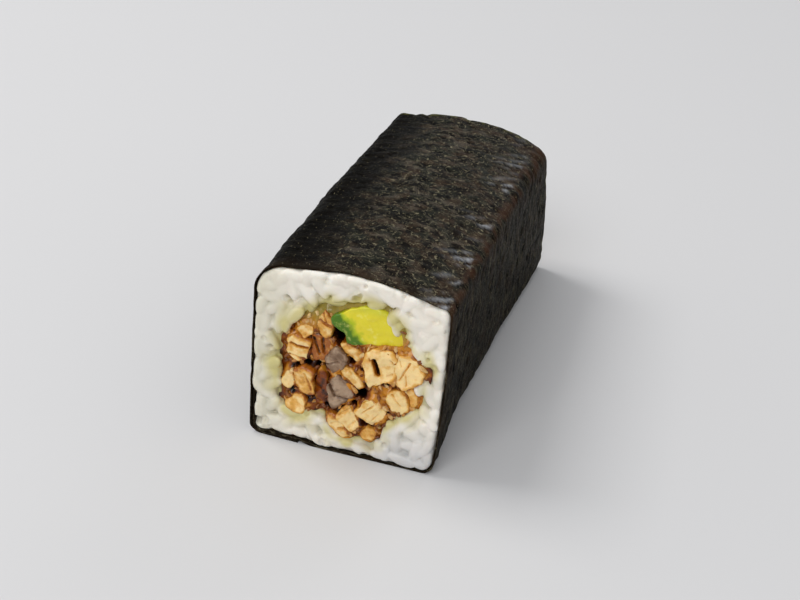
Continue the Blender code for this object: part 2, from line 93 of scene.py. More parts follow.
# What each strip of filling shows at its end: corners (x, z) in millimetres, how far the end lies behind the
# foremost of the filling, also in millimetres, and how browned it is
CHICKEN = {
    "chicken_01": ((
        (-7.4, 28.6), (-6.9, 30.6), (-5.6, 32.2), (-4.2, 30.6), (-3.6, 28.0), (-4.8, 25.9), (-6.8, 26.4),
    ), 1.4, 0.45),
    "chicken_02": ((
        (-11.6, 26.6), (-9.9, 28.2), (-8.1, 28.0), (-8.0, 26.3), (-9.8, 24.9),
    ), 1.2, 0.45),
    "chicken_03": ((
        (-8.2, 25.9), (-6.2, 26.1), (-4.1, 25.4), (-3.9, 23.2), (-4.8, 21.2), (-7.4, 20.4), (-8.4, 22.6),
    ), 1.7, 1.3),
    "chicken_04": ((
        (-13.2, 24.6), (-10.9, 25.4), (-8.3, 24.2), (-8.5, 22.0), (-9.0, 20.2), (-11.5, 19.4), (-13.2, 20.8),
    ), 0.9, 0.2),
    "chicken_05": ((
        (-11.5, 17.2), (-9.3, 18.5), (-7.1, 17.8), (-7.3, 15.4), (-6.7, 12.9), (-8.2, 11.7), (-10.1, 12.9),
        (-11.2, 15.1),
    ), 0.5, 0.65),
    "chicken_06": ((
        (-14.1, 14.2), (-13.4, 16.5), (-11.9, 16.2), (-11.5, 13.9), (-12.4, 12.4), (-13.8, 12.9),
    ), 1.3, 0.15),
    "chicken_07": ((
        (-12.9, 9.5), (-11.2, 11.5), (-9.1, 11.4), (-8.4, 9.8), (-9.1, 7.7), (-10.9, 7.1), (-12.4, 8.1),
    ), 0.7, 0.4),
    "chicken_08": ((
        (-1.2, 20.3), (0.8, 20.8), (2.8, 19.2), (3.7, 17.0), (2.4, 16.1), (0.5, 17.7), (-0.9, 18.9),
    ), 0.9, 0.3),
    "chicken_09": ((
        (-1.6, 25.6), (0.0, 26.0), (1.9, 25.0), (3.0, 23.4), (1.9, 22.1), (0.6, 23.0), (-1.0, 24.6),
    ), 1.3, 0.6),
    "chicken_10": ((
        (3.5, 22.8), (4.2, 25.2), (6.0, 26.4), (9.0, 26.2), (10.2, 24.5), (10.2, 20.3), (7.9, 19.6),
        (5.2, 18.1), (4.2, 21.2),
    ), 0.2, 0.05),
    "chicken_11": ((
        (10.3, 25.4), (12.9, 26.4), (14.5, 25.6), (16.4, 23.3), (16.0, 21.6), (14.3, 20.2), (12.6, 18.9),
        (11.2, 19.4), (10.3, 20.8),
    ), 0.5, 0.1),
    "chicken_12": ((
        (2.6, 11.2), (3.9, 13.5), (6.0, 15.0), (7.4, 13.9), (9.0, 12.3), (8.6, 10.2), (6.2, 8.6), (4.9, 9.8),
    ), 0.3, 0.05),
    "chicken_13": ((
        (9.0, 16.9), (9.8, 17.7), (11.7, 17.9), (13.3, 15.9), (13.8, 14.0), (12.0, 12.5), (10.4, 13.3),
        (9.1, 15.1),
    ), 0.8, 0.15),
    "chicken_14": ((
        (-1.2, 9.4), (1.0, 12.0), (2.5, 10.1), (3.7, 7.8), (1.9, 5.9), (0.4, 7.3), (-1.2, 8.4),
    ), 0.4, 0.1),
    "chicken_15": ((
        (-3.2, 8.6), (-1.4, 8.6), (0.5, 6.4), (1.2, 4.4), (-0.1, 3.1), (-1.5, 4.6), (-3.3, 6.6),
    ), 0.9, 0.3),
    "chicken_16": ((
        (3.7, 5.5), (5.1, 7.5), (7.4, 6.6), (6.3, 4.4), (4.5, 4.1),
    ), 1.5, 0.75),
    "chicken_17": ((
        (12.8, 18.4), (13.9, 19.0), (15.2, 17.5), (15.4, 15.0), (14.2, 14.5), (13.8, 16.4),
    ), 1.4, 0.7),
}
DARK_MEAT = {
    "dark_meat_1": ((
        (-3.5, 23.6), (-2.2, 25.1), (0.0, 23.4), (-0.2, 21.8), (-1.4, 19.9), (-2.8, 18.4), (-4.1, 19.5),
        (-4.4, 22.0),
    ), 0.3, 0.4),
    "dark_meat_2": ((
        (-3.7, 15.1), (-3.4, 17.1), (-1.6, 18.6), (0.5, 17.0), (2.3, 14.8), (0.3, 12.7), (-2.1, 11.2),
        (-3.2, 12.6),
    ), 0.2, 0.4),
}
SAUCE = {
    "sauce": ((
        (-7.1, 14.0), (-6.5, 17.6), (-5.6, 18.8), (-4.5, 17.9), (-4.2, 15.2), (-4.2, 12.2), (-5.0, 10.4),
        (-6.3, 10.6), (-7.0, 12.2),
    ), 1.6, 0.55),
}
AVOCADO = {
    "avocado": ((
        (-3.7, 30.6), (-3.6, 31.9), (-0.4, 34.1), (2.5, 35.2), (5.4, 35.4), (8.4, 34.3), (10.2, 32.2),
        (11.4, 29.6), (11.8, 27.4), (8.0, 27.1), (4.2, 26.9), (1.8, 26.0), (-0.4, 26.4), (-0.7, 28.3),
        (-2.2, 29.6),
    ), 1.0, 0.0),
}
FILLING_CENTRE = (0.5, 19.5)
# The channel through the rice, round the filling, from the right and anticlockwise
CHANNEL = (
    (16.7, 19.5), (17.1, 22.9), (16.3, 26.2), (14.0, 27.6), (12.3, 29.6), (11.4, 32.2), (9.7, 34.0),
    (6.7, 35.8), (3.3, 36.3), (0.0, 35.3), (-2.9, 34.0), (-5.9, 33.8), (-8.3, 32.0), (-10.0, 30.4),
    (-12.3, 29.6), (-13.9, 26.9), (-14.3, 23.8), (-14.4, 20.5), (-15.2, 17.4), (-15.6, 14.6), (-14.6, 11.8),
    (-14.2, 9.2), (-12.5, 7.0), (-9.6, 6.4), (-6.6, 8.4), (-4.2, 8.8), (-4.3, 5.6), (-2.6, 3.4), (0.4, 3.1),
    (2.9, 4.4), (5.6, 3.6), (8.2, 4.8), (9.1, 8.4), (11.4, 10.6), (13.7, 12.0), (15.9, 14.7),
)


def linear(code):
    """The linear colour of an sRGB hex value."""
    parts = [int(code[k:k + 2], 16) / 255 for k in (0, 2, 4)]
    return tuple(c / 12.92 if c <= 0.04045 else ((c + 0.055) / 1.055) ** 2.4 for c in parts)


def colour(name, text, code):
    """A colour of the sidebar."""
    return FloatVectorProperty(
        name=name, description=text, default=linear(code), size=3, min=0, max=1, subtype="COLOR"
    )


def whole(name, text, usual, least, most):
    """A whole number of the sidebar."""
    return IntProperty(name=name, description=text, default=usual, min=least, max=most)


def angle(name, text, degrees):
    """An angle of the sidebar."""
    return FloatProperty(name=name, description=text, default=math.radians(degrees), subtype="ANGLE")


def length(name, text, metres):
    """A length of the sidebar, in metres."""
    return FloatProperty(
        name=name, description=text, default=metres, min=0, unit="LENGTH", subtype="DISTANCE"
    )


class TemakiNoriSettings(bpy.types.PropertyGroup):
    """The sheet of nori."""

    thickness: length("Thickness", "Thickness of the sheet", 0.32 * MM)
    columns: whole("Columns", "Facets round the sheet", 280, 40, 300)
    rows: whole("Rows", "Facets along the sheet", 150, 20, 160)
    brown: colour("Brown", "Where the sheet is thin and brown", "34291f")
    green: colour("Green", "Where the sheet is thick and green", "1f2019")
    # The dent colour is near black: painted shade in the sheet's dents, on its sides and at the top's left edge,
    # and the darkest of its fine mottle
    dent: colour("Dents", "In the dents between the grains below", "060504")
    # The fibres' light colour is partly their own and partly painted glints
    fibre: colour("Fibres", "The dry fibres in the sheet", "8a8268")
    # Painted highlight: the grey of light caught on the ridge's crest, painted into the sheet's colour
    crest_highlight: colour("Ridge", "Where the ridge is rubbed grey", "a0a3a8")


class TemakiRiceSettings(bpy.types.PropertyGroup):
    """The cooked rice."""

    grain_length: length("Grain length", "Length of a cooked grain", 6.2 * MM)
    grain_width: length("Grain width", "Width of a cooked grain", 2.8 * MM)
    spacing: length("Spacing", "Distance between neighbouring grains", 2.5 * MM)
    voxel: length("Voxel", "Fineness with which grains are fused", 0.25 * MM)
    white: colour("White", "The middle of a grain", "fdf6ea")
    # Grey is painted shade in the gaps between grains, and the random tone of some grains
    grey: colour("Grey", "Between grains, where the starch is clear", "c3c0ae")
    stain: colour("Stain", "Rice that the sauce has stained", "c9bc55")


class TemakiFillingSettings(bpy.types.PropertyGroup):
    """Chicken, dark meat, sauce and avocado."""

    sides: whole("Sides", "Facets round each strip", 84, 24, 120)
    cream: colour("Cream", "Cut chicken", "fcda98")
    golden: colour("Golden", "Fried chicken", "e6ab48")
    # Crust is the browned edges' own colour; with the burnt colour it is also painted shade in the cracks and
    # hollows
    crust: colour("Crust", "Browned edges and cracks", "a65c12")
    grey_meat: colour("Dark meat", "Cut dark meat", "87694f")
    sauce: colour("Sauce", "Thick sauce", "351405")
    flesh: colour("Avocado", "Avocado flesh", "eadb2e")
    skin_side: colour("Avocado skin side", "Avocado flesh next to the skin", "4c7800")


class TemakiStageSettings(bpy.types.PropertyGroup):
    """Floor, lamps and camera."""

    floor: colour("Floor", "The floor", "d0cfcf")
    azimuth: angle("Azimuth", "Camera's place round the roll", 14.73)
    elevation: angle("Elevation", "Camera's height over the floor", 28.43)
    roll: angle("Roll", "Camera's turn about its own axis", 4.37)
    distance: length("Distance", "Camera's distance from the roll", 303.7 * MM)
    lens: FloatProperty(name="Lens", description="Focal length in millimetres", default=57.25)


def smooth_step(value):
    """0 up to 0, 1 from 1 on, and a smooth rise between."""
    value = min(1, max(0, value))
    return value * value * (3 - 2 * value)


def corners_at(y):
    """The section's four corners as (point, radius) at this place along the roll, in metres."""
    share = min(1, max(0, y / ROLL_LENGTH + 0.5))
    for (start, before), (end, after) in zip(SECTIONS, SECTIONS[1:]):
        if share <= end:
            mix = smooth_step((share - start) / (end - start))
            blended = [Vector(a).lerp(Vector(b), mix) * MM for a, b in zip(before, after)]
            return [(Vector((c.x, c.y)), c.z) for c in blended]


def ring_point(q, y, inset=0.0):
    """The point and outward normal at ring coordinate q, each as (x, z), this deep below the roll's surface.

    A ring coordinate goes from 0 to 8 once round: even steps for the underside, right, top and left, and odd
    steps for the corners that follow them.
    """
    corners = corners_at(y)
    step = int(q % TURN)
    along = q % TURN - step
    side = step // 2
    points = [corners[(side + k) % 4][0] for k in range(-1, 3)]
    ahead = [(b - a).normalized() for a, b in zip(points, points[1:])]
    normals = [Vector((d.y, -d.x)) for d in ahead]

    def rounding(k):
        """A corner's radius, how far it eats into the face ahead of it, and the sharp corner's place."""
        before, after = normals[k], normals[k + 1]
        radius = max(corners[(side + k) % 4][1] - inset, SMALLEST_RADIUS)
        sharp = points[k + 1] - (before + after) * inset / (1 + before.dot(after))
        return radius, radius * math.tan(before.angle(after) / 2), sharp

    last_radius, last_cut, last_sharp = rounding(1)
    if step % 2 == 0:
        _, first_cut, first_sharp = rounding(0)
        first = first_sharp + ahead[1] * first_cut
        last = last_sharp - ahead[1] * last_cut
        swell = SWELLS[side] * math.sin(math.pi * along)
        return first.lerp(last, along) + normals[1] * swell, normals[1]
    centre = last_sharp - ahead[1] * last_cut - normals[1] * last_radius
    turned = normals[1].slerp(normals[2], along)
    return centre + turned * last_radius, turned


def raised(q):
    """1 where the surface may be uneven, 0 on the underside, which stays flat."""
    return smooth_step(2 * (q % TURN - 1)) * smooth_step(2 * (TURN - 1 - q % TURN))


def lower_layer(q):
    """1 where the sheet lies under its own flap, 0 where it is the outer layer."""
    q = q % TURN
    if q >= SHEET_START or q <= FLAP_END:
        return 1.0
    width = abs(ring_point(1, 0)[0].x - ring_point(0, 0)[0].x)
    return 1 - smooth_step((q - FLAP_END) * width / RELEASE_WIDTH)


def end_of_roll(x, z, outward):
    """Where the roll ends along Y at a point of its section. outward is -1 at the front and 1 at the back."""
    right, up = FRONT_LEAN if outward < 0 else BACK_LEAN
    return outward * ROLL_LENGTH / 2 + right * x + up * (z - MIDDLE_HEIGHT)


def sheet_edge(table, q):
    """How far past the roll's end the sheet stands at ring coordinate q."""
    q = q % TURN
    for (before, start), (after, end) in zip(table, table[1:]):
        if q <= after:
            stand = start + (end - start) * smooth_step((q - before) / (after - before))
            return stand * MM + EDGE_RIPPLE * math.sin(4.7 * q)


def sway(y):
    """The filling's slight wander along the roll, none at the front."""
    share = y / ROLL_LENGTH + 0.5
    return SWAY[0] * math.sin(3.4 * share), SWAY[1] * math.sin(2.3 * math.pi * share)


def lumps(point, grain, seed=0.0):
    """Smooth noise from -1 to 1 with bumps of this size."""
    return noise.noise(Vector(point) / grain + Vector((seed, 17.3, seed * 1.7)))


def even_rings(start, length_wanted, count):
    """Ring coordinates at even steps of length round the front section."""
    fine = [start + k * FINE_RING for k in range(round(MOST_TURN / FINE_RING))]
    travelled = [0.0]
    for a, b in zip(fine, fine[1:]):
        travelled.append(travelled[-1] + (ring_point(b, 0)[0] - ring_point(a, 0)[0]).length)
    steps = [length_wanted * k / count for k in range(count + 1)]
    return list(np.interp(steps, travelled, fine))


def once_round(length_wanted, count):
    """The ring coordinates at even steps that lie in the first time round."""
    return [q for q in even_rings(0.0, length_wanted, count) if q < TURN]


def smooth_outline(corners, count, cut=0.25):
    """A closed outline in metres through rounded corners, as count points from the first corner."""
    points = [Vector(c) for c in corners]
    for _ in range(3):
        edges = zip(points, points[1:] + points[:1])
        points = [p for a, b in edges for p in (a.lerp(b, cut), a.lerp(b, 1 - cut))]
    closed = points + points[:1]
    travelled = np.cumsum([0.0] + [(b - a).length for a, b in zip(closed, closed[1:])])
    steps = np.linspace(0, travelled[-1], count, endpoint=False)
    xs = np.interp(steps, travelled, [p.x for p in closed]) * MM
    zs = np.interp(steps, travelled, [p.y for p in closed]) * MM
    return [Vector(p) for p in zip(xs, zs)]


def outline_distance(points, outline):
    """Distance of each (x, z) point from a closed outline, negative inside it."""
    p = np.asarray(points)[:, None, :]
    a = np.array([tuple(v) for v in outline])
    b = np.roll(a, -1, axis=0)
    d = b - a
    t = np.clip(((p - a) * d).sum(2) / (d * d).sum(1), 0, 1)
    nearest = np.sqrt(((p - a - t[..., None] * d) ** 2).sum(2)).min(1)
    above = a[:, 1] > p[:, :, 1]
    crosses = above != (b[:, 1] > p[:, :, 1])
    rise = np.where(d[:, 1] == 0, 1, d[:, 1])
    at = a[:, 0] + d[:, 0] * (p[:, :, 1] - a[:, 1]) / rise
    inside = (crosses & (p[:, :, 0] < at)).sum(1) % 2 == 1
    return np.where(inside, -nearest, nearest)


def channel_outline():
    """The outline of the channel through the rice."""
    return smooth_outline(CHANNEL, 160)


def end_offsets(outward):
    """How far an end's rice and filling lie behind the roll's end, and how far the filling has wandered."""
    return 0.0 if outward < 0 else RICE_BACK_RECESS, Vector(sway(outward * ROLL_LENGTH / 2))


def folded_grid(columns, rows, place, names=()):
    """A grid folded into a closed form. place gives each vertex's point and its number for each name."""
    bm = bmesh.new()
    bmesh.ops.create_grid(bm, x_segments=columns, y_segments=rows, size=0.5)
    layers = [bm.verts.layers.float.new(name) for name in names]
    for vertex in bm.verts:
        column = round((vertex.co.x + 0.5) * columns) % columns
        vertex.co, numbers = place(column, round((vertex.co.y + 0.5) * rows))
        for layer, number in zip(layers, numbers):
            vertex[layer] = number
    bmesh.ops.remove_doubles(bm, verts=bm.verts, dist=SAME_PLACE)
    bmesh.ops.recalc_face_normals(bm, faces=bm.faces)
    return bm


def add_piece(name, bm, material, nodes=()):
    """Puts a finished mesh in the scene, on the roll's only body."""
    mesh = bpy.data.meshes.new(name)
    bm.to_mesh(mesh)
    bm.free()
    mesh.shade_smooth()
    mesh.materials.append(material)
    made = bpy.data.objects.new(name, mesh)
    bpy.context.scene.collection.objects.link(made)
    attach(made, "root")
    if nodes:
        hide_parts(*nodes)
    return made


def apply_modifiers(item):
    """Puts the shape that the modifiers give into the object's mesh."""
    bpy.context.view_layer.update()
    graph = bpy.context.evaluated_depsgraph_get()
    old = item.data
    item.data = bpy.data.meshes.new_from_object(item.evaluated_get(graph))
    item.modifiers.clear()
    bpy.data.meshes.remove(old)


def paint(item, name, values):
    """Writes one number for each vertex into an attribute of the piece."""
    layer = item.data.attributes.new(name, "FLOAT", "POINT")
    layer.data.foreach_set("value", np.asarray(values, dtype=np.float32))


def vertex_places(item):
    """The places of a piece's vertices."""
    places = np.empty(len(item.data.vertices) * 3, dtype=np.float32)
    item.data.vertices.foreach_get("co", places)
    return places.reshape(-1, 3).astype(float)


def new_material(name):
    """A material ready for nodes, and its tree."""
    made = bpy.data.materials.new(name)
    made.use_nodes = True
    return made, made.node_tree


def wire(tree, node, inputs):
    """Sets a node's inputs: other nodes' outputs are linked, and the rest are values."""
    for key, value in inputs.items():
        if isinstance(value, bpy.types.NodeSocket):
            tree.links.new(value, node.inputs[key])
        else:
            node.inputs[key].default_value = value


def add(tree, kind, inputs=None, **settings):
    """Adds a node: settings are its own, and inputs go by socket."""
    made = tree.nodes.new("ShaderNode" + kind)
    for key, value in settings.items():
        setattr(made, key, value)
    wire(tree, made, inputs or {})
    return made


def finish(made, base, height, strength, depth, sockets):
    """Gives a material its colour, its fine relief and its shader's other values."""
    tree = made.node_tree
    bump = add(tree, "Bump", {"Height": height, "Strength": strength, "Distance": depth})
    shader = tree.nodes["Principled BSDF"]
    wire(tree, shader, {"Base Color": base, "Normal": bump.outputs["Normal"], **sockets})
    return made


def blend(tree, share, first, second):
    """The colour between two colours, by a share from 0 to 1."""
    made = add(tree, "Mix", data_type="RGBA")
    first, second = (c if isinstance(c, bpy.types.NodeSocket) else (*c, 1) for c in (first, second))
    wire(tree, made, {0: share, 6: first, 7: second})
    return made.outputs[2]


def coats(tree, base, *layers):
    """A colour with others laid over it in turn, each given as its share and its colour."""
    for share, over in layers:
        base = blend(tree, share, base, over)
    return base


def ramp(tree, value, low, high, floor=0.0, ceiling=1.0):
    """A value carried smoothly from low..high to floor..ceiling."""
    made = add(tree, "MapRange", {
        "Value": value, "From Min": low, "From Max": high, "To Min": floor, "To Max": ceiling,
    }, interpolation_type="SMOOTHSTEP")
    return made.outputs["Result"]


def worked_out(tree, how, values):
    """Adds or multiplies numbers and nodes' outputs, from the first on."""
    total, *others = values
    for value in others:
        total = add(tree, "Math", {0: total, 1: value}, operation=how).outputs[0]
    return total


def times(tree, *values):
    """The product of numbers and nodes' outputs."""
    return worked_out(tree, "MULTIPLY", values)


def plus(tree, *values):
    """The sum of numbers and nodes' outputs."""
    return worked_out(tree, "ADD", values)


def vector(tree, how, first, second):
    """Two vectors added or multiplied."""
    return add(tree, "VectorMath", {0: first, 1: second}, operation=how).outputs[0]


def attribute(tree, name):
    """One of the numbers painted on a piece."""
    return add(tree, "Attribute", attribute_name=name).outputs["Fac"]


def clouds(tree, place, size, detail=3.0, **more):
    """Noise in the piece, with lumps of this size."""
    made = add(tree, "TexNoise", {"Vector": place, "Scale": 1 / size, "Detail": detail, **more})
    return made.outputs["Fac"]


def flat_noise(tree, place, scale, detail=3.0, rough=0.5):
    """Noise on the sheet, by its own millimetres."""
    made = add(tree, "TexNoise", {
        "Vector": place, "Scale": scale, "Detail": detail, "Roughness": rough,
    }, noise_dimensions="2D")
    return made.outputs["Fac"]


def webbing(tree, place, scale, width):
    """Thin lines between the cells of a Voronoi pattern, 1 on a line."""
    cells = {"Vector": place, "Scale": scale}
    made = add(tree, "TexVoronoi", cells, voronoi_dimensions="2D", feature="DISTANCE_TO_EDGE")
    return ramp(tree, made.outputs["Distance"], 0.0, width, 1.0, 0.0)


def nori_material(look):
    """Roasted nori, pressed from chopped seaweed: near black, with matted fibres and a dull sheen, part of it
    painted: a painted sheen on the top, painted highlights on the ridge's crest, and painted shade in the dents,
    on the sides and at the top's left edge.
    """
    made, tree = new_material("roasted_nori_pressed")
    painted_sheen_grey, rim_olive, edge_brown, ridge_brown, speck_tan = map(
        linear, ("5e554b", "5b5a2e", "3c2c1a", "4d3323", "a79c7c")
    )
    uv = add(tree, "UVMap", uv_map="sheet").outputs["UV"]  # one unit is a metre of sheet
    place = add(tree, "Mapping", {"Vector": uv, "Scale": (1 / MM, 1 / MM, 1)}).outputs[0]  # in millimetres
    along = add(tree, "SeparateXYZ", {0: place}).outputs[1]
    # The fibres curl, and the patches and streaks only bend
    warp = add(tree, "TexNoise", {"Vector": place, "Scale": 0.45, "Detail": 3.0}, noise_dimensions="2D")
    bent = vector(tree, "MULTIPLY", warp.outputs["Color"], (3.4, 3.4, 0))
    curled = vector(tree, "ADD", place, bent)
    eased = vector(tree, "ADD", place, vector(tree, "MULTIPLY", bent, (0.4, 0.4, 0)))
    lean = {"Vector": eased, "Rotation": (0, 0, -0.4), "Scale": (0.62, 1.0, 1)}
    skewed = add(tree, "Mapping", lean).outputs[0]
    streaked = add(tree, "Mapping", {"Vector": eased, "Scale": (0.14, 1.9, 1)}).outputs[0]
    mottle = flat_noise(tree, place, 0.17, 4.0, 0.65)
    fine = flat_noise(tree, place, 1.3, 5.0, 0.75)
    # Fibres 0.1 to 0.2 mm thick, drawn a little coarse so that they show; their lighter colour is partly their own
    # and partly painted glints, more of them on the top
    strands = webbing(tree, curled, 0.55, 0.075)
    hairs = webbing(tree, curled, 1.4, 0.1)
    patchy = ramp(tree, flat_noise(tree, place, 0.5, 2.0), 0.46, 0.62)
    sparse = ramp(tree, flat_noise(tree, place, 0.9, 2.0), 0.5, 0.62)
    shade = ramp(tree, flat_noise(tree, skewed, 0.34, 3.0, 0.6), 0.47, 0.58)
    # Painted sheen: lighter grey-brown patches, laid only on the top by the sheen mark
    painted_sheen_patches = ramp(tree, flat_noise(tree, skewed, 0.22, 3.0, 0.6), 0.5, 0.68)
    lines = ramp(tree, flat_noise(tree, streaked, 1.0, 3.0, 0.6), 0.56, 0.68)
    speck = add(tree, "TexVoronoi", {"Vector": place, "Scale": 1.1}, voronoi_dimensions="2D")
    chosen = add(tree, "SeparateColor", {0: speck.outputs["Color"]}).outputs[0]
    bright = times(
        tree, ramp(tree, speck.outputs["Distance"], 0.04, 0.13, 1.0, 0.0), ramp(tree, chosen, 0.8, 0.85)
    )
    dent, crest_highlight, ridge, sheen, dark = (attribute(tree, name) for name in SHEET_MARKS)
    # side is 1 wherever the sheen mark is 0, everywhere but the top, and paints shade there
    side = add(tree, "Math", {0: 1.0, 1: sheen}, operation="SUBTRACT").outputs[0]
    far_rim = ramp(tree, along, ROLL_LENGTH / MM - 1.6, ROLL_LENGTH / MM - 0.3, 0.0, 0.6)
    base = coats(
        tree, look.green,
        (ramp(tree, mottle, 0.42, 0.6), look.brown),
        (ramp(tree, fine, 0.45, 0.7, 0.0, 0.5), look.dent),
        # Painted sheen on the top
        (times(tree, painted_sheen_patches, sheen, 0.36), painted_sheen_grey),
        (times(tree, shade, 0.9), look.dent),
        # Painted shade: the dents painted near black
        (dent, look.dent),
        (times(tree, hairs, patchy, 0.3), look.fibre),
        # Fibres lighter, more on the top: partly their own colour, partly painted glints
        (times(tree, strands, sparse, ramp(tree, sheen, 0, 1, 0.35, 0.8)), look.fibre),
        # Painted shade: the sides and underside darker than the top
        (times(tree, side, 0.55), look.dent),
        # On the sides, light streaks along the fibres: partly their own colour, partly painted glints
        (times(tree, side, lines, 0.28), look.fibre),
        # Painted shade: the top's left edge, its corner and the upper left side towards near black
        (times(tree, dark, 0.88), look.dent),
        (times(tree, far_rim, patchy), rim_olive),
        (ramp(tree, along, 0.5, 6.0, 0.18, 0.0), edge_brown),
        (times(tree, ridge, 0.6), ridge_brown),
        # Painted highlight on the ridge's crest
        (times(tree, crest_highlight, ramp(tree, fine, 0.3, 0.6, 0.35, 0.9)), look.crest_highlight),
        (times(tree, bright, 0.7), speck_tan),
    )
    height = plus(tree, times(tree, fine, 0.7), times(tree, strands, 0.3), times(tree, hairs, 0.15))
    return finish(made, base, height, 0.6, 0.16 * MM, {
        "Roughness": ramp(tree, fine, 0.3, 0.7, 0.36, 0.6),
        "IOR": 1.45,
        "Specular IOR Level": plus(tree, times(tree, sheen, 0.025), times(tree, crest_highlight, 0.3), 0.012),
    })


def rice_material(look):
    """Short rice, steamed and seasoned: moist white grains, with painted shade greying the gaps between them."""
    made, tree = new_material("steamed_rice_moist")
    cream, left_grey, low_blue = map(linear, ("e8dcd0", "c6c3a6", "b9bcc4"))
    place = add(tree, "TexCoord").outputs["Object"]
    across, _, up = add(tree, "SeparateXYZ", {0: place}).outputs
    grain, tone, stain = (attribute(tree, name) for name in ("grain", "tone", "stain"))
    # Painted shade: the rice greyer towards the left, and bluish grey low on the right
    low = ramp(tree, up, 2 * MM, 14 * MM, 0.55, 0.0)
    base = coats(
        tree, look.grey,
        # Painted shade: grey between the grains, white in their middles
        (ramp(tree, grain, 0.25, 0.85), look.white),
        (times(tree, tone, 0.3), look.grey),
        (ramp(tree, clouds(tree, place, 5 * MM), 0.45, 0.7, 0.0, 0.35), cream),
        (ramp(tree, across, -21 * MM, -9 * MM, 0.5, 0.0), left_grey),
        (times(tree, low, ramp(tree, across, -6 * MM, 16 * MM)), low_blue),
        (stain, look.stain),
    )
    return finish(made, base, clouds(tree, place, 0.7 * MM), 0.25, 0.15 * MM, {
        "Roughness": 0.38,
        "IOR": 1.4,
        "Subsurface Weight": 0.35,
        "Subsurface Radius": (1.0, 0.85, 0.7),
        "Subsurface Scale": 1.2 * MM,
    })


def meat_material(name, light, middle, edge, gloss):
    """Cooked meat, torn and glazed: pale where it is cut, darker and wet where glaze has run in, with painted
    shade darkening its hollows and cracks.
    """
    made, tree = new_material(name)
    burnt = linear("2a1206")
    place = add(tree, "TexCoord").outputs["Object"]
    cloud = clouds(tree, place, 2.2 * MM, 4.0, Roughness=0.6)
    threads = clouds(tree, place, 0.5 * MM, 4.0, Distortion=1.2)
    worked = plus(tree, attribute(tree, "browned"), ramp(tree, cloud, 0.3, 0.7, -0.24, 0.26))
    base = coats(
        tree, light,
        (ramp(tree, worked, 0.1, 0.5), middle),
        (ramp(tree, worked, 0.4, 0.85), edge),
        (ramp(tree, worked, 1.0, 1.5), burnt),
        (ramp(tree, threads, 0.55, 0.75, 0.0, 0.3), middle),
    )
    return finish(made, base, threads, 0.5, 0.2 * MM, {
        "Roughness": ramp(tree, worked, 0.1, 0.8, 0.5, 0.22),
        "IOR": 1.42,
        "Subsurface Weight": 0.2,
        "Subsurface Radius": (1.0, 0.55, 0.3),
        "Subsurface Scale": 0.8 * MM,
        "Coat Weight": gloss,
        "Coat Roughness": 0.18,
    })


def sauce_material(look):
    """Thick soy glaze, boiled down: almost black where deep, orange brown where it thins, and wet, with painted
    shade near black in the hollows between the pieces.
    """
    made, tree = new_material("soy_glaze_thick")
    brown, orange, avocado_stain, deepest = map(linear, ("7f3b06", "cb8626", "94883c", "080403"))
    place = add(tree, "TexCoord").outputs["Object"]
    up = add(tree, "SeparateXYZ", {0: place}).outputs[2]
    cloud = clouds(tree, place, 1.6 * MM, 4.0)
    worked = plus(tree, attribute(tree, "browned"), ramp(tree, cloud, 0.35, 0.65, -0.2, 0.2))
    base = coats(
        tree, look.sauce,
        (ramp(tree, worked, 0.1, 0.55), brown),
        (ramp(tree, worked, 0.5, 1.0), orange),
        (ramp(tree, up, 27 * MM, 31.5 * MM, 0.0, 0.85), avocado_stain),
        # Painted shade: near black in the hollows between the pieces
        (ramp(tree, worked, -0.9, -0.2, 1.0, 0.0), deepest),
    )
    return finish(made, base, cloud, 0.5, 0.3 * MM, {
        "Roughness": 0.2,
        "IOR": 1.43,
        "Specular IOR Level": 0.3,
        "Coat Weight": 0.28,
        "Coat Roughness": 0.05,
    })


def avocado_material(look):
    """Ripe avocado, sliced: yellow inside, green towards the skin, with the smooth wet cut of a knife and painted
    highlights on it.
    """
    made, tree = new_material("avocado_flesh_sliced")
    lime, pale, upper_green = map(linear, ("b4c314", "f6ee86", "aebf3a"))
    place = add(tree, "TexCoord").outputs["Object"]
    up = add(tree, "SeparateXYZ", {0: place}).outputs[2]
    cloud = clouds(tree, place, 3 * MM)
    pulp = clouds(tree, place, 1.3 * MM)
    worked = plus(tree, attribute(tree, "browned"), ramp(tree, cloud, 0.3, 0.7, -0.25, 0.2))
    base = coats(
        tree, look.flesh,
        (ramp(tree, worked, 0.15, 0.5), lime),
        (ramp(tree, worked, 0.45, 0.85), look.skin_side),
        # Painted highlight: pale yellow spots on the cut
        (ramp(tree, pulp, 0.55, 0.72, 0.0, 0.4), pale),
        (times(tree, ramp(tree, up, 33 * MM, 35.5 * MM), 0.4), upper_green),
    )
    return finish(made, base, pulp, 0.5, 0.3 * MM, {
        "Roughness": 0.3,
        "IOR": 1.42,
        "Subsurface Weight": 0.25,
        "Subsurface Radius": (1.0, 0.9, 0.3),
        "Subsurface Scale": 1.0 * MM,
        "Coat Weight": 0.15,
        "Coat Roughness": 0.15,
    })


# Marks on the sheet: its dents, the painted highlight on the ridge's crest, the reddish ridge, the top's sheen,
# and the painted shade at the top's left edge
SHEET_MARKS = ("dent", "crest_highlight", "ridge", "sheen", "dark")
DENT_LENGTH = 4.4 * MM
DENT_WIDTH = 2.6 * MM
DENT_DEPTH = 0.34 * MM
WRINKLE_STEP = 3.7 * MM
WRINKLE_HEIGHT = 0.34 * MM
RIDGE_AT = 3.55  # ring coordinate of the wrinkled ridge, and of its crest, where a highlight is painted
CREST_AT = 3.97
RAGGED_EDGE = 0.35 * MM
CALM_EDGE = 4 * MM  # the sheet is flatter within this of its front edge


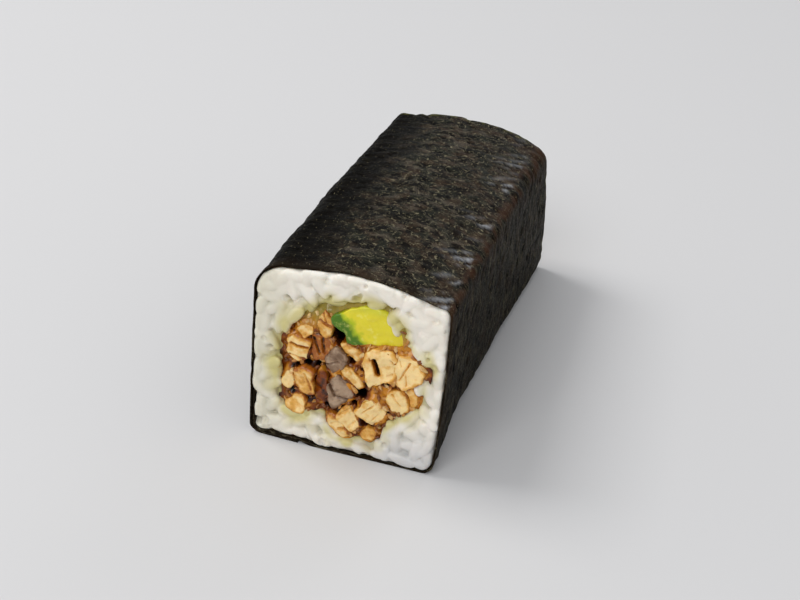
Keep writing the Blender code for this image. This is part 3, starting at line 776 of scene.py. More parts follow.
def sheet_relief(round_place, q, y):
    """How far the sheet stands out at a place on it, and its SHEET_MARKS there."""
    point, _ = ring_point(q, y)
    loose = raised(q)
    turn = q % TURN
    flat = (round_place, y, 0)
    out = RELIEF_HEIGHT * loose * noise.noise(Vector((point.x, y, point.y)) / RELIEF_GRAIN)
    out += 0.2 * MM * loose * lumps((round_place / 1.5, y, 0), 2.0 * MM)
    out += 0.06 * MM * loose * lumps(flat, 1.1 * MM, 5.0)
    bent = 1.6 * MM * lumps(flat, 5 * MM, 14.0)
    cell = Vector(((round_place + bent) / DENT_LENGTH, (y - 0.3 * round_place + bent) / DENT_WIDTH, 0.0))
    apart = noise.voronoi(cell)[0]
    here = smooth_step((lumps(flat, 8 * MM, 3.0) + 0.45) * 2.4)
    dent = smooth_step(1.25 - apart[0] / 0.3) * here * loose
    out -= DENT_DEPTH * dent
    side = turn - RIDGE_AT
    ridge = math.exp(-(side / (0.62 if side > 0 else 0.4)) ** 2)
    wander = 3.0 * lumps((0.4 * round_place, y, 0), 8 * MM, 8.0)
    wave = math.sin(math.tau * (y + 0.7 * round_place) / WRINKLE_STEP + wander)
    strength = smooth_step(0.65 + 1.6 * lumps((0, y, 0), 6 * MM, 21.0))
    wrinkle = smooth_step(0.5 + 0.6 * wave) * ridge * strength
    out += WRINKLE_HEIGHT * (wrinkle - 0.45 * ridge)
    crest = math.exp(-((turn - CREST_AT + 0.12 * lumps((0, y, 0), 5 * MM, 61.0)) / 0.15) ** 2)
    # Painted highlight along the ridge's crest, where the wrinkles stand up, fading towards the back; the same
    # mark raises the specular there
    crest_highlight = crest * smooth_step(1.6 * wrinkle - 0.1) * smooth_step(0.7 + 2.2 * lumps(flat, 2.4 * MM, 4.0))
    crest_highlight *= 1 - 0.6 * smooth_step(y / (0.4 * ROLL_LENGTH))
    reddish = math.exp(-((turn - 3.5) / 0.4) ** 2) * smooth_step(0.5 + 1.8 * lumps(flat, 3 * MM, 31.0))
    # Where the top's sheen is: 1 on the top and 0 on the sides; it lays the painted sheen on the top and the
    # painted shade on the sides, and sets the specular
    sheen = smooth_step((turn - 3.35) / 0.5) * smooth_step((5.1 - turn) / 0.4)
    # Painted shade: the top's left edge, the corner beyond it and the upper left side darkened towards near black
    dark_from = turn - 4.66 + 0.15 * lumps(flat, 5 * MM, 41.0)
    dark = smooth_step(dark_from / 0.28) * smooth_step((6.5 - turn) / 0.6)
    return out, (dent, crest_highlight, reddish, sheen, dark)


class TEMAKI_OT_nori(bpy.types.Operator):
    """Builds the sheet of nori, rolled once round the rice and on under its own flap"""

    bl_idname = "temaki.nori"
    bl_label = "Nori"

    def execute(self, context):
        look = context.scene.temaki_nori
        rings = even_rings(SHEET_START, SHEET_LENGTH, look.columns)
        marks = {}

        def place(column, row):
            q = min(rings[column], FLAP_END + 2 * TURN)
            round_place = SHEET_LENGTH * column / look.columns
            centre = ring_point(q, 0)[0]
            ragged = RAGGED_EDGE * lumps((round_place, 0, 0), 2.6 * MM, 2.0) * raised(q)
            front = end_of_roll(centre.x, centre.y, -1) - sheet_edge(FRONT_EDGE, q)
            front -= 0.5 * ragged + 0.15 * MM
            back = end_of_roll(centre.x, centre.y, 1) + sheet_edge(BACK_EDGE, q) + ragged
            y = front + (back - front) * row / look.rows
            point, normal = ring_point(q, y)
            out, marks[column, row] = sheet_relief(round_place, q, y)
            out *= 0.3 + 0.7 * smooth_step((y - front) / CALM_EDGE)
            covered = lower_layer(q) if q < SHEET_START + TURN / 2 else 0
            point = point + normal * (out - covered * LAYER_STEP)
            return Vector((point.x, y, point.y))

        bm = bmesh.new()
        bmesh.ops.create_grid(
            bm, x_segments=look.columns, y_segments=look.rows, size=0.5, calc_uvs=True
        )
        sheet = bm.loops.layers.uv.new("sheet")
        layers = [bm.verts.layers.float.new(name) for name in SHEET_MARKS]
        for face in bm.faces:
            for loop in face.loops:
                across, along = loop.vert.co.x + 0.5, loop.vert.co.y + 0.5
                loop[sheet].uv = (across * SHEET_LENGTH, along * ROLL_LENGTH)
        for vertex in bm.verts:
            column = round((vertex.co.x + 0.5) * look.columns)
            row = round((vertex.co.y + 0.5) * look.rows)
            vertex.co = place(column, row)
            for layer, mark in zip(layers, marks[column, row]):
                vertex[layer] = mark
        bmesh.ops.remove_doubles(bm, verts=bm.verts, dist=SAME_PLACE)
        bm.normal_update()
        bm.faces.ensure_lookup_table()
        if bm.faces[0].normal.x > 0:
            bmesh.ops.reverse_faces(bm, faces=bm.faces)
        made = add_piece("nori_sheet", bm, nori_material(look), ["nori"])
        solidify = made.modifiers.new("thickness", "SOLIDIFY")
        solidify.thickness = look.thickness
        solidify.offset = -1
        return {"FINISHED"}


GRAIN_STRAY = 1.1 * MM
GRAIN_TILT = math.radians(16)
GRAIN_PROUD = 0.75 * MM
SLAB_DEPTH = 4 * MM
SLAB_DROP = 1.3  # how far the slab's face lies behind the end, in millimetres
SLAB_RISE = 0.9  # and how much less along the sheet
BAND_WIDTH = 1.1 * MM
RICE_INSET = 0.3 * MM
CORE_INSET = SHEET_ROOM + RELIEF_HEIGHT + 0.6 * MM
CORE_STEPS = 24  # facets along the core
CORE_FACE_STEPS = 3  # facets across the core's end, from the sheet to the channel
LATTICE_SPAN = 44 * MM
GRAIN_AXIS = 0.36  # how far a grain's axis goes from its middle, as a share of its length
END_COLUMNS = 180
END_STEPS = 24
EDGE_GAP = 0.05 * MM
EDGE_DROP = 0.75 * MM  # how much lower the grains lie right against the sheet
EDGE_TAPER = 0.3  # how fast the grains draw back from the sheet with their depth behind the end
PRESSED = 0.3 * MM  # grains that stand further out than this are pressed flat
# Hollows between the grains at the front end: x, z, radius and depth in millimetres
RICE_HOLLOWS = (
    (-13.6, 33.5, 0.6, 1.5), (-13.2, 32.5, 0.5, 1.0), (-17.0, 21.5, 0.6, 1.2), (-18.4, 23.2, 0.5, 0.6),
    (-19.2, 3.2, 0.9, 1.4), (-17.4, 3.7, 0.8, 1.0), (1.0, 36.4, 0.8, 1.5), (1.8, 37.4, 0.5, 1.0),
    (2.9, 39.8, 0.35, 0.8), (9.6, 36.2, 0.6, 1.0), (9.4, 4.6, 0.6, 0.9), (-4.4, 1.6, 0.8, 0.7),
    (16.9, 26.8, 0.4, 1.0), (11.0, 39.2, 0.3, 0.6), (-8.0, 7.6, 0.5, 0.8), (4.9, 0.9, 0.6, 0.6),
    (12.2, 29.4, 0.7, 0.8), (17.3, 12.4, 0.5, 0.7),
)
# Grains over the avocado and at the filling's edge: x, z, turn in degrees, and how proud they stand, all but the
# turn in millimetres
STRAY_GRAINS = (
    (8.9, 34.0, 58, 0.5), (5.0, 36.0, 20, 0.4), (9.7, 31.6, 80, -0.1), (12.9, 30.2, 70, 0.3),
    (15.6, 19.6, 72, 0.3), (12.6, 10.6, 84, 0.3), (14.6, 12.4, 60, 0.2), (16.6, 26.4, 62, 0.3),
)


def rice_edge(outward):
    """The rice's outline at one end of the roll, against the sheet."""
    points = []
    for q in once_round(166 * MM, 260):
        point, normal = ring_point(q, outward * ROLL_LENGTH / 2, RICE_INSET)
        points.append(point - normal * lower_layer(q) * LAYER_STEP)
    return points


def reach_along(outline, centre, direction):
    """How far an outline reaches from a centre in one direction."""
    reach = 0.0
    for a, b in zip(outline, outline[1:] + outline[:1]):
        a, b = a - centre, b - centre
        side_a, side_b = direction.cross(a), direction.cross(b)
        if side_a * side_b <= 0 and side_a != side_b:
            reach = max(reach, a.lerp(b, side_a / (side_a - side_b)).dot(direction))
    return reach


def grain_shape(look):
    """One cooked grain, thicker at one end and slightly bent."""
    bm = bmesh.new()
    lying = Matrix.Rotation(math.pi / 2, 4, "Y")
    bmesh.ops.create_uvsphere(bm, u_segments=14, v_segments=12, radius=1, matrix=lying)
    for vertex in bm.verts:
        x, y, z = vertex.co
        taper = 1 + 0.12 * x
        vertex.co = Vector((
            x * look.grain_length / 2,
            y * taper * look.grain_width / 2,
            (z * taper - 0.28 * x * x) * look.grain_width / 2,
        ))
    mesh = bpy.data.meshes.new("grain")
    bm.to_mesh(mesh)
    bm.free()
    return mesh


def grain_lattice(spacing):
    """The places of a close lattice over the end, row by row from the underside."""
    row_height = spacing * math.sin(math.pi / 3)
    count = round(LATTICE_SPAN / spacing)
    return [
        ((column + 0.5 * (row % 2)) * spacing, row * row_height)
        for row in range(round(LATTICE_SPAN / row_height))
        for column in range(-count // 2 - 1, count // 2 + 2)
    ]


def lay_grains(look, outward, edge, channel):
    """Where the grains of one end lie: (x, z, turn, tilt, roll, proud, length share)."""
    scatter = random.Random(f"rice {outward}")
    found = []
    lattice = grain_lattice(look.spacing)
    slice_edge = smooth_outline(AVOCADO["avocado"][0], 60)
    for proud in (GRAIN_PROUD, GRAIN_PROUD - 1.3 * MM):
        for x, z in lattice:
            x += scatter.uniform(-1, 1) * GRAIN_STRAY
            z += scatter.uniform(-1, 1) * GRAIN_STRAY
            turn = scatter.uniform(0, math.pi)
            tilt = scatter.uniform(-1, 1) * GRAIN_TILT
            roll = scatter.uniform(0, math.tau)
            share = scatter.uniform(0.85, 1.05)
            along = Vector((math.cos(turn), math.sin(turn))) * look.grain_length * GRAIN_AXIS * share
            spots = [(x + along.x, z + along.y), (x - along.x, z - along.y), (x, z)]
            if outline_distance(spots, edge).max() > -look.grain_width * 0.12:
                continue
            if outline_distance(spots, channel).min() < -0.1 * look.grain_width:
                continue
            if outline_distance(spots, slice_edge).min() < look.grain_width * 0.4:
                continue
            stand = proud + scatter.uniform(-0.45, 0.25) * MM
            found.append((x, z, turn, tilt, roll, stand, share))
    return found + edge_grains(look, edge, scatter)


def edge_grains(look, edge, scatter):
    """The grains that lie end to end along the sheet, as lay_grains gives them."""
    found = []
    closed = edge + edge[:1]
    travelled = np.cumsum([0.0] + [(b - a).length for a, b in zip(closed, closed[1:])])
    at = 0.0
    while at < travelled[-1]:
        k = min(int(np.searchsorted(travelled, at, side="right")) - 1, len(edge) - 1)
        ahead = (closed[k + 1] - closed[k]).normalized()
        inward = Vector((-ahead.y, ahead.x))
        spot = closed[k] + inward * scatter.uniform(0.42, 0.6) * look.grain_width
        turn = math.atan2(ahead.y, ahead.x) + scatter.uniform(-0.25, 0.25)
        stand = GRAIN_PROUD + scatter.uniform(-0.5, 0.1) * MM
        roll = scatter.uniform(0, math.tau)
        found.append((spot.x, spot.y, turn, 0.0, roll, stand, scatter.uniform(0.75, 1.0)))
        at += scatter.uniform(0.62, 0.85) * look.grain_length
    return found


class TEMAKI_OT_rice(bpy.types.Operator):
    """Builds the bar of rice: its core, and the fused grains of each end"""

    bl_idname = "temaki.rice"
    bl_label = "Rice"

    def execute(self, context):
        look = context.scene.temaki_rice
        material = rice_material(look)
        channel = channel_outline()
        self.build_core(material, channel)
        grain = grain_shape(look)
        for outward, name in ((-1, "rice_front"), (1, "rice_back")):
            self.build_end(look, material, channel, rice_edge(outward), grain, outward, name)
        bpy.data.meshes.remove(grain)
        return {"FINISHED"}

    def build_core(self, material, channel):
        """The plain bar behind the ends, with the filling's channel through it."""
        rings = once_round(160 * MM, 200)
        centre = Vector(FILLING_CENTRE) * MM
        reaches = []
        for q in rings:
            towards = (ring_point(q, 0)[0] - centre).normalized()
            reaches.append(centre + towards * reach_along(channel, centre, towards))
        shares = [k / CORE_STEPS for k in range(CORE_STEPS + 1)]
        last = len(shares)
        rows = 2 * last + 2 * (CORE_FACE_STEPS - 1)

        def place(column, row):
            """Rows go along the outside, in across the back face, back through the channel and out again."""
            q, row = rings[column], row % rows
            if row < last:
                share, across = shares[row], 0.0
            elif row < last + CORE_FACE_STEPS - 1:
                share, across = 1.0, (row - last + 1) / CORE_FACE_STEPS
            elif row < 2 * last + CORE_FACE_STEPS - 1:
                share, across = shares[2 * last + CORE_FACE_STEPS - 2 - row], 1.0
            else:
                share, across = 0.0, 1 - (row - 2 * last - CORE_FACE_STEPS + 2) / CORE_FACE_STEPS
            start = ring_point(q, 0)[0]
            front = end_of_roll(start.x, start.y, -1) + 0.6 * SLAB_DEPTH
            back = end_of_roll(start.x, start.y, 1) - 0.6 * SLAB_DEPTH - RICE_BACK_RECESS
            y = front + (back - front) * share
            point, normal = ring_point(q, y, CORE_INSET)
            point = point - normal * lower_layer(q) * LAYER_STEP
            point = point.lerp(reaches[column] + Vector(sway(y)), across)
            return Vector((point.x, y, point.y)), ()

        made = add_piece("rice_core", folded_grid(len(rings), rows, place), material, ["rice"])
        for name, value in (("grain", 0.6), ("tone", 0.3), ("stain", 0.0)):
            paint(made, name, [value] * len(made.data.vertices))

    def end_slab(self, inner, outer, outward, recess):
        """The slab of an end, from the channel to the sheet, low where the grains will lie on it."""

        def place(column, row):
            """Rows go across the face from the filling to the sheet, and back behind it."""
            row = row % (2 * END_STEPS)
            face = row <= END_STEPS
            across = row / END_STEPS if face else 2 - row / END_STEPS
            point = inner[column].lerp(outer[column], across)
            width = (outer[column] - point).length / MM
            band = smooth_step(1.5 - width * MM / BAND_WIDTH)
            depth = SLAB_DROP - SLAB_RISE * band + 0.4 * lumps((point.x, point.y, 0), 3.4 * MM, outward)
            depth += 0.9 * max(0.0, 1 - width / 0.8) ** 2
            if not face:
                depth = SLAB_DEPTH / MM
                point = point.lerp(inner[column], 0.06)
            y = end_of_roll(point.x, point.y, outward) - outward * (recess + depth * MM)
            return Vector((point.x, y, point.y)), ()

        return folded_grid(END_COLUMNS, 2 * END_STEPS, place)

    def build_end(self, look, material, channel, edge, grain, outward, name):
        """A slab at one end with its grains, fused by a remesh and smoothed, as sticky rice is."""
        centre = Vector(FILLING_CENTRE) * MM
        recess, shift = end_offsets(outward)
        hole = [p + shift for p in channel]
        angles = [math.tau * k / END_COLUMNS for k in range(END_COLUMNS)]
        rays = [Vector((math.cos(a), math.sin(a))) for a in angles]
        outer = [centre + r * reach_along(edge, centre, r) for r in rays]
        inner = [centre + r * reach_along(hole, centre, r) for r in rays]
        bm = self.end_slab(inner, outer, outward, recess)
        places = lay_grains(look, outward, edge, hole)
        if outward < 0:
            for x, z, turn, proud in STRAY_GRAINS:
                places.append((x * MM, z * MM, math.radians(turn), 0.1, 0.4, proud * MM, 0.72))
        reach = [(p - centre).length - EDGE_GAP for p in outer]
        shape = np.array([tuple(v.co) for v in grain.vertices])
        axes = []
        for x, z, turn, tilt, roll, proud, share in places:
            y = end_of_roll(x, z, outward) - outward * (recess + look.grain_width / 2 - proud)
            pose = (
                Matrix.Translation((x, y, z))
                @ Matrix.Rotation(-turn, 4, "Y")
                @ Matrix.Rotation(tilt, 4, "Z")
                @ Matrix.Rotation(roll, 4, "X")
                @ Matrix.Diagonal((share, 1, 1, 1))
            )
            laid = grain.copy()
            spots = shape @ np.array(pose.to_3x3()).T + np.array(pose.translation)
            plane = end_of_roll(spots[:, 0], spots[:, 2], outward) - outward * recess
            over = (spots[:, 1] - plane) * outward
            flat = spots[:, [0, 2]] - np.array(centre)
            far = np.hypot(flat[:, 0], flat[:, 1])
            angle = np.arctan2(flat[:, 1], flat[:, 0])
            most = np.interp(angle, angles, reach, period=math.tau) - EDGE_TAPER * np.maximum(0, -over)
            limit = PRESSED - EDGE_DROP * np.clip(1 - (most - far) / BAND_WIDTH, 0, 1) ** 2
            spots[:, 1] = plane + outward * np.where(over > limit, limit + 0.4 * (over - limit), over)
            spots[:, [0, 2]] = np.array(centre) + flat * np.minimum(1, most / far)[:, None]
            laid.vertices.foreach_set("co", spots.ravel())
            bm.from_mesh(laid)
            bpy.data.meshes.remove(laid)
            half = Vector((GRAIN_AXIS * look.grain_length, 0, 0))
            axes.append((*(pose @ half), *(pose @ -half)))
        made = add_piece(name, bm, material, ["rice"])
        fuse = made.modifiers.new("fuse", "REMESH")
        fuse.mode = "VOXEL"
        fuse.voxel_size = look.voxel
        soften = made.modifiers.new("soften", "SMOOTH")
        soften.iterations = 2
        soften.factor = 0.5
        apply_modifiers(made)
        made.data.shade_smooth()
        if outward < 0:
            self.press_hollows(made)
        self.colour_end(look, made, axes, hole, outward, recess)

    def press_hollows(self, made):
        """Deepens the gaps that show between the grains of the front end."""
        places = vertex_places(made)
        plane = end_of_roll(places[:, 0], places[:, 2], -1)
        shallow = np.clip(1.5 - (places[:, 1] - plane) / (1.6 * MM), 0, 1)
        ragged = np.array([0.3 * lumps(p, 0.8 * MM, 51.0) for p in places])
        for x, z, radius, depth in RICE_HOLLOWS:
            across = np.hypot(places[:, 0] / MM - x, places[:, 2] / MM - z) / radius + ragged
            inside = np.clip(1.5 - across, 0, 1)
            places[:, 1] += shallow * inside * inside * (3 - 2 * inside) * depth * MM
        made.data.vertices.foreach_set("co", places.astype(np.float32).ravel())

    def colour_end(self, look, made, axes, hole, outward, recess):
        """Marks each vertex with how much of a grain it is, which lays painted shade in the gaps and the deep
        places between grains, the grain's own tone, and the filling's stain.
        """
        places = vertex_places(made)
        nearest = np.full(len(places), 1.0)
        owner = np.zeros(len(places), dtype=int)
        for number, axis in enumerate(axes):
            a, b = np.array(axis[:3]), np.array(axis[3:])
            share = np.clip(((places - a) @ (b - a)) / ((b - a) @ (b - a)), 0, 1)
            apart = np.linalg.norm(places - a - share[:, None] * (b - a), axis=1)
            closer = apart < nearest
            nearest[closer] = apart[closer]
            owner[closer] = number
        tones = np.random.default_rng(7 + outward).random(len(axes))
        deep = outward * (end_of_roll(places[:, 0], places[:, 2], outward) - places[:, 1]) - recess
        inner = np.clip(1.6 - nearest / (0.5 * look.grain_width), 0, 1)
        # Painted shade: away from a grain's middle and deeper behind the end, the rice turns grey
        paint(made, "grain", inner * np.clip(1.25 - deep / (1.8 * MM), 0, 1))
        paint(made, "tone", tones[owner])
        flat = places[:, [0, 2]]
        apart = outline_distance(flat, hole)
        rough = np.array([lumps(p, 3.2 * MM, 6.0) for p in places])
        left = np.clip((-places[:, 0] / MM - 3) / 8, 0, 1)
        fruit = np.clip((places[:, 2] / MM - 28) / 4, 0, 1)
        wide = 2.0 + 1.6 * np.maximum(left, 0.7 * fruit)
        stain = np.clip(1 - (np.abs(apart) / MM - 0.2 + 2.2 * rough) / wide, 0, 1) ** 1.2
        paint(made, "stain", 0.7 * stain)


CAP_SHARE = 0.8
ROUNDING = 0.45 * MM
CORNER_CUT = 0.12  # share of each edge that a rounded corner takes, three times over
FILLING_PROUD = 0.9 * MM
CAP_RINGS = 24
SIDE_ROWS = 11  # close rows behind the cap, where a strip's side shows
SIDE_STEP = 0.35 * MM
MIDDLE_ROWS = 10
MOST_LEAN = 0.16
END_ZONE = 3 * MM  # an end's lean and cracks are gone this far behind it
# How lumpy a strip is: (height in millimetres, size) for lumps, fine lumps and threads
STRIP_LUMPS = ((0.5, 2.6 * MM), (0.13, 0.9 * MM), (0.07, 0.75 * MM))
OUTLINE_LUMPS = ((0.3, 1.6 * MM), (0.16, 0.7 * MM))


def cap_profile(reach):
    """(share of the outline, depth) from the middle of a strip's end out to its side."""
    profile = []
    flat = 1 - min(0.5, ROUNDING / reach)
    for k in range(CAP_RINGS + 1):
        t = k / CAP_RINGS
        if t < CAP_SHARE:
            profile.append((flat * t / CAP_SHARE, 0.0))
        else:
            turn = (t - CAP_SHARE) / (1 - CAP_SHARE) * math.pi / 2
            profile.append((flat + (1 - flat) * math.sin(turn), ROUNDING * (1 - math.cos(turn))))
    return profile


# Cuts and cracks on the ends of strips, each from one point (x, z) to another with its width and depth, in
# millimetres; their depth also browns them towards black, as painted shade
CRACKS = {
    "chicken_10": (
        ((5.8, 24.0), (6.8, 21.1), 0.5, 2.0), ((4.8, 24.6), (5.1, 23.9), 0.2, 0.4),
        ((9.2, 24.9), (10.0, 23.9), 0.15, 0.4), ((8.9, 21.0), (9.9, 21.9), 0.15, 0.3),
    ),
    "chicken_11": (
        ((13.3, 25.0), (11.3, 20.6), 0.18, 0.5), ((12.6, 22.8), (12.9, 20.0), 0.15, 0.4),
        ((11.0, 25.0), (11.6, 23.9), 0.15, 0.4),
    ),
    "chicken_04": (((-12.4, 23.3), (-9.0, 22.9), 0.4, 0.8), ((-12.6, 20.6), (-9.4, 20.2), 0.3, 0.5)),
    "chicken_03": (((-7.8, 25.2), (-6.6, 22.0), 0.35, 0.7), ((-6.0, 25.4), (-5.4, 22.4), 0.3, 0.6)),
    "chicken_01": (((-6.8, 29.6), (-4.2, 28.9), 0.35, 0.5), ((-6.0, 31.4), (-5.2, 29.6), 0.25, 0.4)),
    "chicken_05": (((-8.9, 17.4), (-7.6, 13.4), 0.25, 0.3),),
    "chicken_12": (((4.3, 11.4), (6.6, 13.6), 0.2, 0.35), ((6.4, 10.0), (7.7, 11.5), 0.2, 0.3)),
    "chicken_13": (((10.1, 16.9), (12.0, 14.6), 0.2, 0.35),),
    "chicken_14": (((-0.9, 9.6), (1.2, 11.3), 0.3, 0.3), ((1.4, 7.0), (2.6, 8.6), 0.3, 0.3)),
    "chicken_15": (((-0.6, 5.9), (0.4, 6.2), 0.5, 0.5), ((-2.4, 6.9), (-1.2, 7.6), 0.3, 0.3)),
    "dark_meat_2": (((-3.3, 16.6), (-2.0, 13.9), 0.3, 0.5), ((-1.9, 13.9), (1.4, 13.4), 0.25, 0.35)),
    "dark_meat_1": (((-4.0, 20.8), (-1.8, 21.6), 0.25, 0.3),),
}


def crack_depth(cracks, x, z):
    """How deep the cracks of a piece are at a point, in metres."""
    deepest = 0.0
    for start, end, width, depth in cracks:
        a, b = Vector(start) * MM, Vector(end) * MM
        p = Vector((x, z))
        share = min(1, max(0, (p - a).dot(b - a) / (b - a).length_squared))
        apart = (p - a.lerp(b, share)).length + 0.12 * MM * lumps((x, z, 0), 0.7 * MM, 9.0)
        deepest = max(deepest, depth * MM * smooth_step(1.4 - apart / (width * MM)))
    return deepest


def build_strip(name, shape, columns, roughness, material, swell=1.1):
    """One strip of filling through the roll, with both its ends finished."""
    corners, recess, browned = shape
    rough = random.Random(name)
    seed = rough.uniform(0, 50)
    lean = Vector((rough.uniform(-MOST_LEAN, MOST_LEAN), rough.uniform(-MOST_LEAN, MOST_LEAN)))
    grain_turn = rough.uniform(0, math.pi)
    fibre = Vector((math.cos(grain_turn), math.sin(grain_turn)))
    outline = smooth_outline(corners, columns, CORNER_CUT)
    centre = sum(outline, Vector((0, 0))) / len(outline)
    for number, point in enumerate(outline):
        uneven = sum(
            height * lumps((point.x, 0, point.y), size, seed + k) for k, (height, size) in enumerate(OUTLINE_LUMPS)
        )
        out = point - centre
        outline[number] = centre + out * swell + out.normalized() * roughness * MM * uneven
    reach = sum((p - centre).length for p in outline) / len(outline)
    cap = cap_profile(reach)
    sides = [ROUNDING + SIDE_STEP * k for k in range(1, SIDE_ROWS + 1)]
    middle = [0.08 + 0.84 * k / MIDDLE_ROWS for k in range(MIDDLE_ROWS + 1)]
    rows = 2 * (len(cap) + len(sides)) + len(middle)
    cracks = CRACKS.get(name, ())
    front = end_of_roll(centre.x, centre.y, -1) + recess * MM - FILLING_PROUD
    back = end_of_roll(centre.x, centre.y, 1) - recess * MM + FILLING_PROUD - RICE_BACK_RECESS

    def place(column, row):
        from_back = row >= rows - len(cap) - len(sides)
        near = rows - 1 - row if from_back else row
        share, depth = 1.0, None
        if near < len(cap):
            share, depth = cap[near]
        elif near < len(cap) + len(sides):
            depth = sides[near - len(cap)]
        point = centre.lerp(outline[column], share)
        if depth is None:
            y = front + (back - front) * middle[near - len(cap) - len(sides)]
        else:
            tilt = lean.dot(point - centre) * smooth_step(1 - depth / END_ZONE)
            y = back - depth + tilt if from_back else front + depth + tilt
        point = point + Vector(sway(y))
        return Vector((point.x, y, point.y)), (share,)

    bm = folded_grid(columns, rows - 1, place, ["rim"])
    bm.normal_update()
    layer = bm.verts.layers.float.new("browned")
    rim_layer = bm.verts.layers.float["rim"]
    moves = []
    for vertex in bm.verts:
        x, y, z = vertex.co
        shift = sway(y)
        flat = Vector((x - shift[0], z - shift[1]))
        along, across = flat.dot(fibre), flat.cross(fibre)
        lump = lumps((x, y, z), STRIP_LUMPS[0][1], seed)
        fine = lumps((x, y, z), STRIP_LUMPS[1][1], seed + 3)
        thread = lumps((along / 3.2, y, across), STRIP_LUMPS[2][1], seed + 5)
        near_end = min(y - front, back - y)
        crack = crack_depth(cracks, flat.x, flat.y) if near_end < END_ZONE else 0.0
        out = roughness * MM * sum(
            height * value for (height, _), value in zip(STRIP_LUMPS, (lump, fine, thread))
        )
        moves.append(vertex.normal * (out - crack))
        # Painted shade: the browning goes towards black in the strip's hollows and in the depth of its cracks,
        # beside the browning at its rim and along its sides behind the end
        hollow = max(0.0, -lump - 0.15) + 0.6 * max(0.0, -fine - 0.15) + 0.5 * max(0.0, -thread - 0.1)
        rim = vertex[rim_layer] + 0.25 * lump
        side = 0.22 * smooth_step((rim - 0.7) / 0.3) + 0.28 * smooth_step((rim - 0.93) / 0.15)
        deep = smooth_step((near_end - 0.3 * MM) / (1.2 * MM))
        vertex[layer] = min(2.0, browned * 0.6 + side + 0.35 * deep + hollow * 0.4 + 0.85 * crack / MM)
    for vertex, move in zip(bm.verts, moves):
        vertex.co += move
    return add_piece(name + "_strip", bm, material, [name])


class TEMAKI_OT_chicken(bpy.types.Operator):
    """Builds the pieces of fried chicken"""

    bl_idname = "temaki.chicken"
    bl_label = "Chicken"

    def execute(self, context):
        look = context.scene.temaki_filling
        material = meat_material("fried_chicken_glazed", look.cream, look.golden, look.crust, 0.35)
        for name, shape in CHICKEN.items():
            build_strip(name, shape, look.sides, 1.0, material)
        return {"FINISHED"}


class TEMAKI_OT_dark_meat(bpy.types.Operator):
    """Builds the pieces of dark meat"""

    bl_idname = "temaki.dark_meat"
    bl_label = "Dark meat"

    def execute(self, context):
        look = context.scene.temaki_filling
        light, edge = linear("b0957a"), linear("56381f")
        material = meat_material("dark_meat_braised", light, look.grey_meat, edge, 0.25)
        for name, shape in DARK_MEAT.items():
            build_strip(name, shape, look.sides, 1.2, material)
        return {"FINISHED"}


class TEMAKI_OT_avocado(bpy.types.Operator):
    """Builds the slice of avocado"""

    bl_idname = "temaki.avocado"
    bl_label = "Avocado"

    def execute(self, context):
        look = context.scene.temaki_filling
        material = avocado_material(look)
        for name, shape in AVOCADO.items():
            made = build_strip(name, shape, look.sides, 0.8, material, 1.02)
            places = vertex_places(made)
            away = ((places[:, 0] + 1.5 * MM) * 0.786 + (places[:, 2] - 33.5 * MM) * 0.618) / MM
            values = np.clip(0.5 - away / 3.4, 0, 1)
            made.data.attributes["browned"].data.foreach_set("value", values.astype(np.float32))
        return {"FINISHED"}


# Hollows between the pieces, their glaze painted near black as painted shade: x, z, radius and depth in
# millimetres
HOLES = (
    (-2.6, 28.2, 1.9, 6.0), (-1.9, 26.7, 1.2, 5.0), (8.2, 18.9, 0.8, 1.2), (15.5, 20.4, 1.2, 2.4),
    (5.2, 8.9, 1.4, 2.4), (3.3, 15.2, 0.9, 2.5), (0.7, 22.2, 0.7, 2.0), (-11.0, 18.6, 0.6, 1.5),
    (4.6, 17.6, 0.6, 1.0), (-13.2, 28.0, 0.7, 1.0), (-8.6, 11.2, 0.6, 1.2), (-8.4, 26.0, 0.5, 1.0),
    (10.4, 17.8, 0.5, 0.9), (9.4, 12.6, 0.5, 0.8), (-11.9, 12.0, 0.5, 0.9), (-8.7, 19.4, 0.6, 1.2),
    (-8.6, 22.9, 0.4, 1.0), (-12.0, 17.6, 0.4, 0.8), (-4.6, 20.4, 0.5, 1.2), (-6.6, 19.2, 0.5, 1.0),
    (2.0, 12.6, 0.5, 1.2), (3.2, 20.8, 0.5, 1.0), (-4.0, 10.2, 0.5, 1.0),
)
# Where the glaze lies thick and dark, and where its darker brown round the pieces on the left is painted shade: x,
# z and radius in millimetres
THICK_GLAZE = (
    (-5.4, 14.5, 3.2), (-5.5, 20.0, 2.0), (3.4, 15.4, 1.6), (-0.6, 10.8, 1.2), (-2.4, 10.6, 1.8),
    (-8.8, 20.4, 1.8), (-7.6, 25.2, 1.6), (-11.4, 12.6, 1.0), (-8.2, 11.4, 1.2), (15.2, 19.6, 1.4),
)

# Where it is thin and golden over pale meat: x, z and radius in millimetres
THIN_GLAZE = (
    (7.2, 16.3, 1.9), (-8.2, 30.6, 1.8), (12.8, 28.6, 1.4), (-10.6, 28.9, 1.2), (5.4, 5.2, 1.2),
)


def in_spot(flat, x, z, radius, edge):
    """1 in the middle of a round spot, falling to 0 at edge times its radius, for points (x, z)."""
    return np.clip(edge - np.hypot(flat[:, 0] / MM - x, flat[:, 1] / MM - z) / radius, 0, 1)


GLAZE_DROP = 0.4  # how far the glaze lies behind the pieces beside it, in millimetres
GLAZE_SAG = 0.9  # and how much further away from them
GLAZE_REACH = 3.0  # distance from a piece at which the glaze is at its thickest, in millimetres


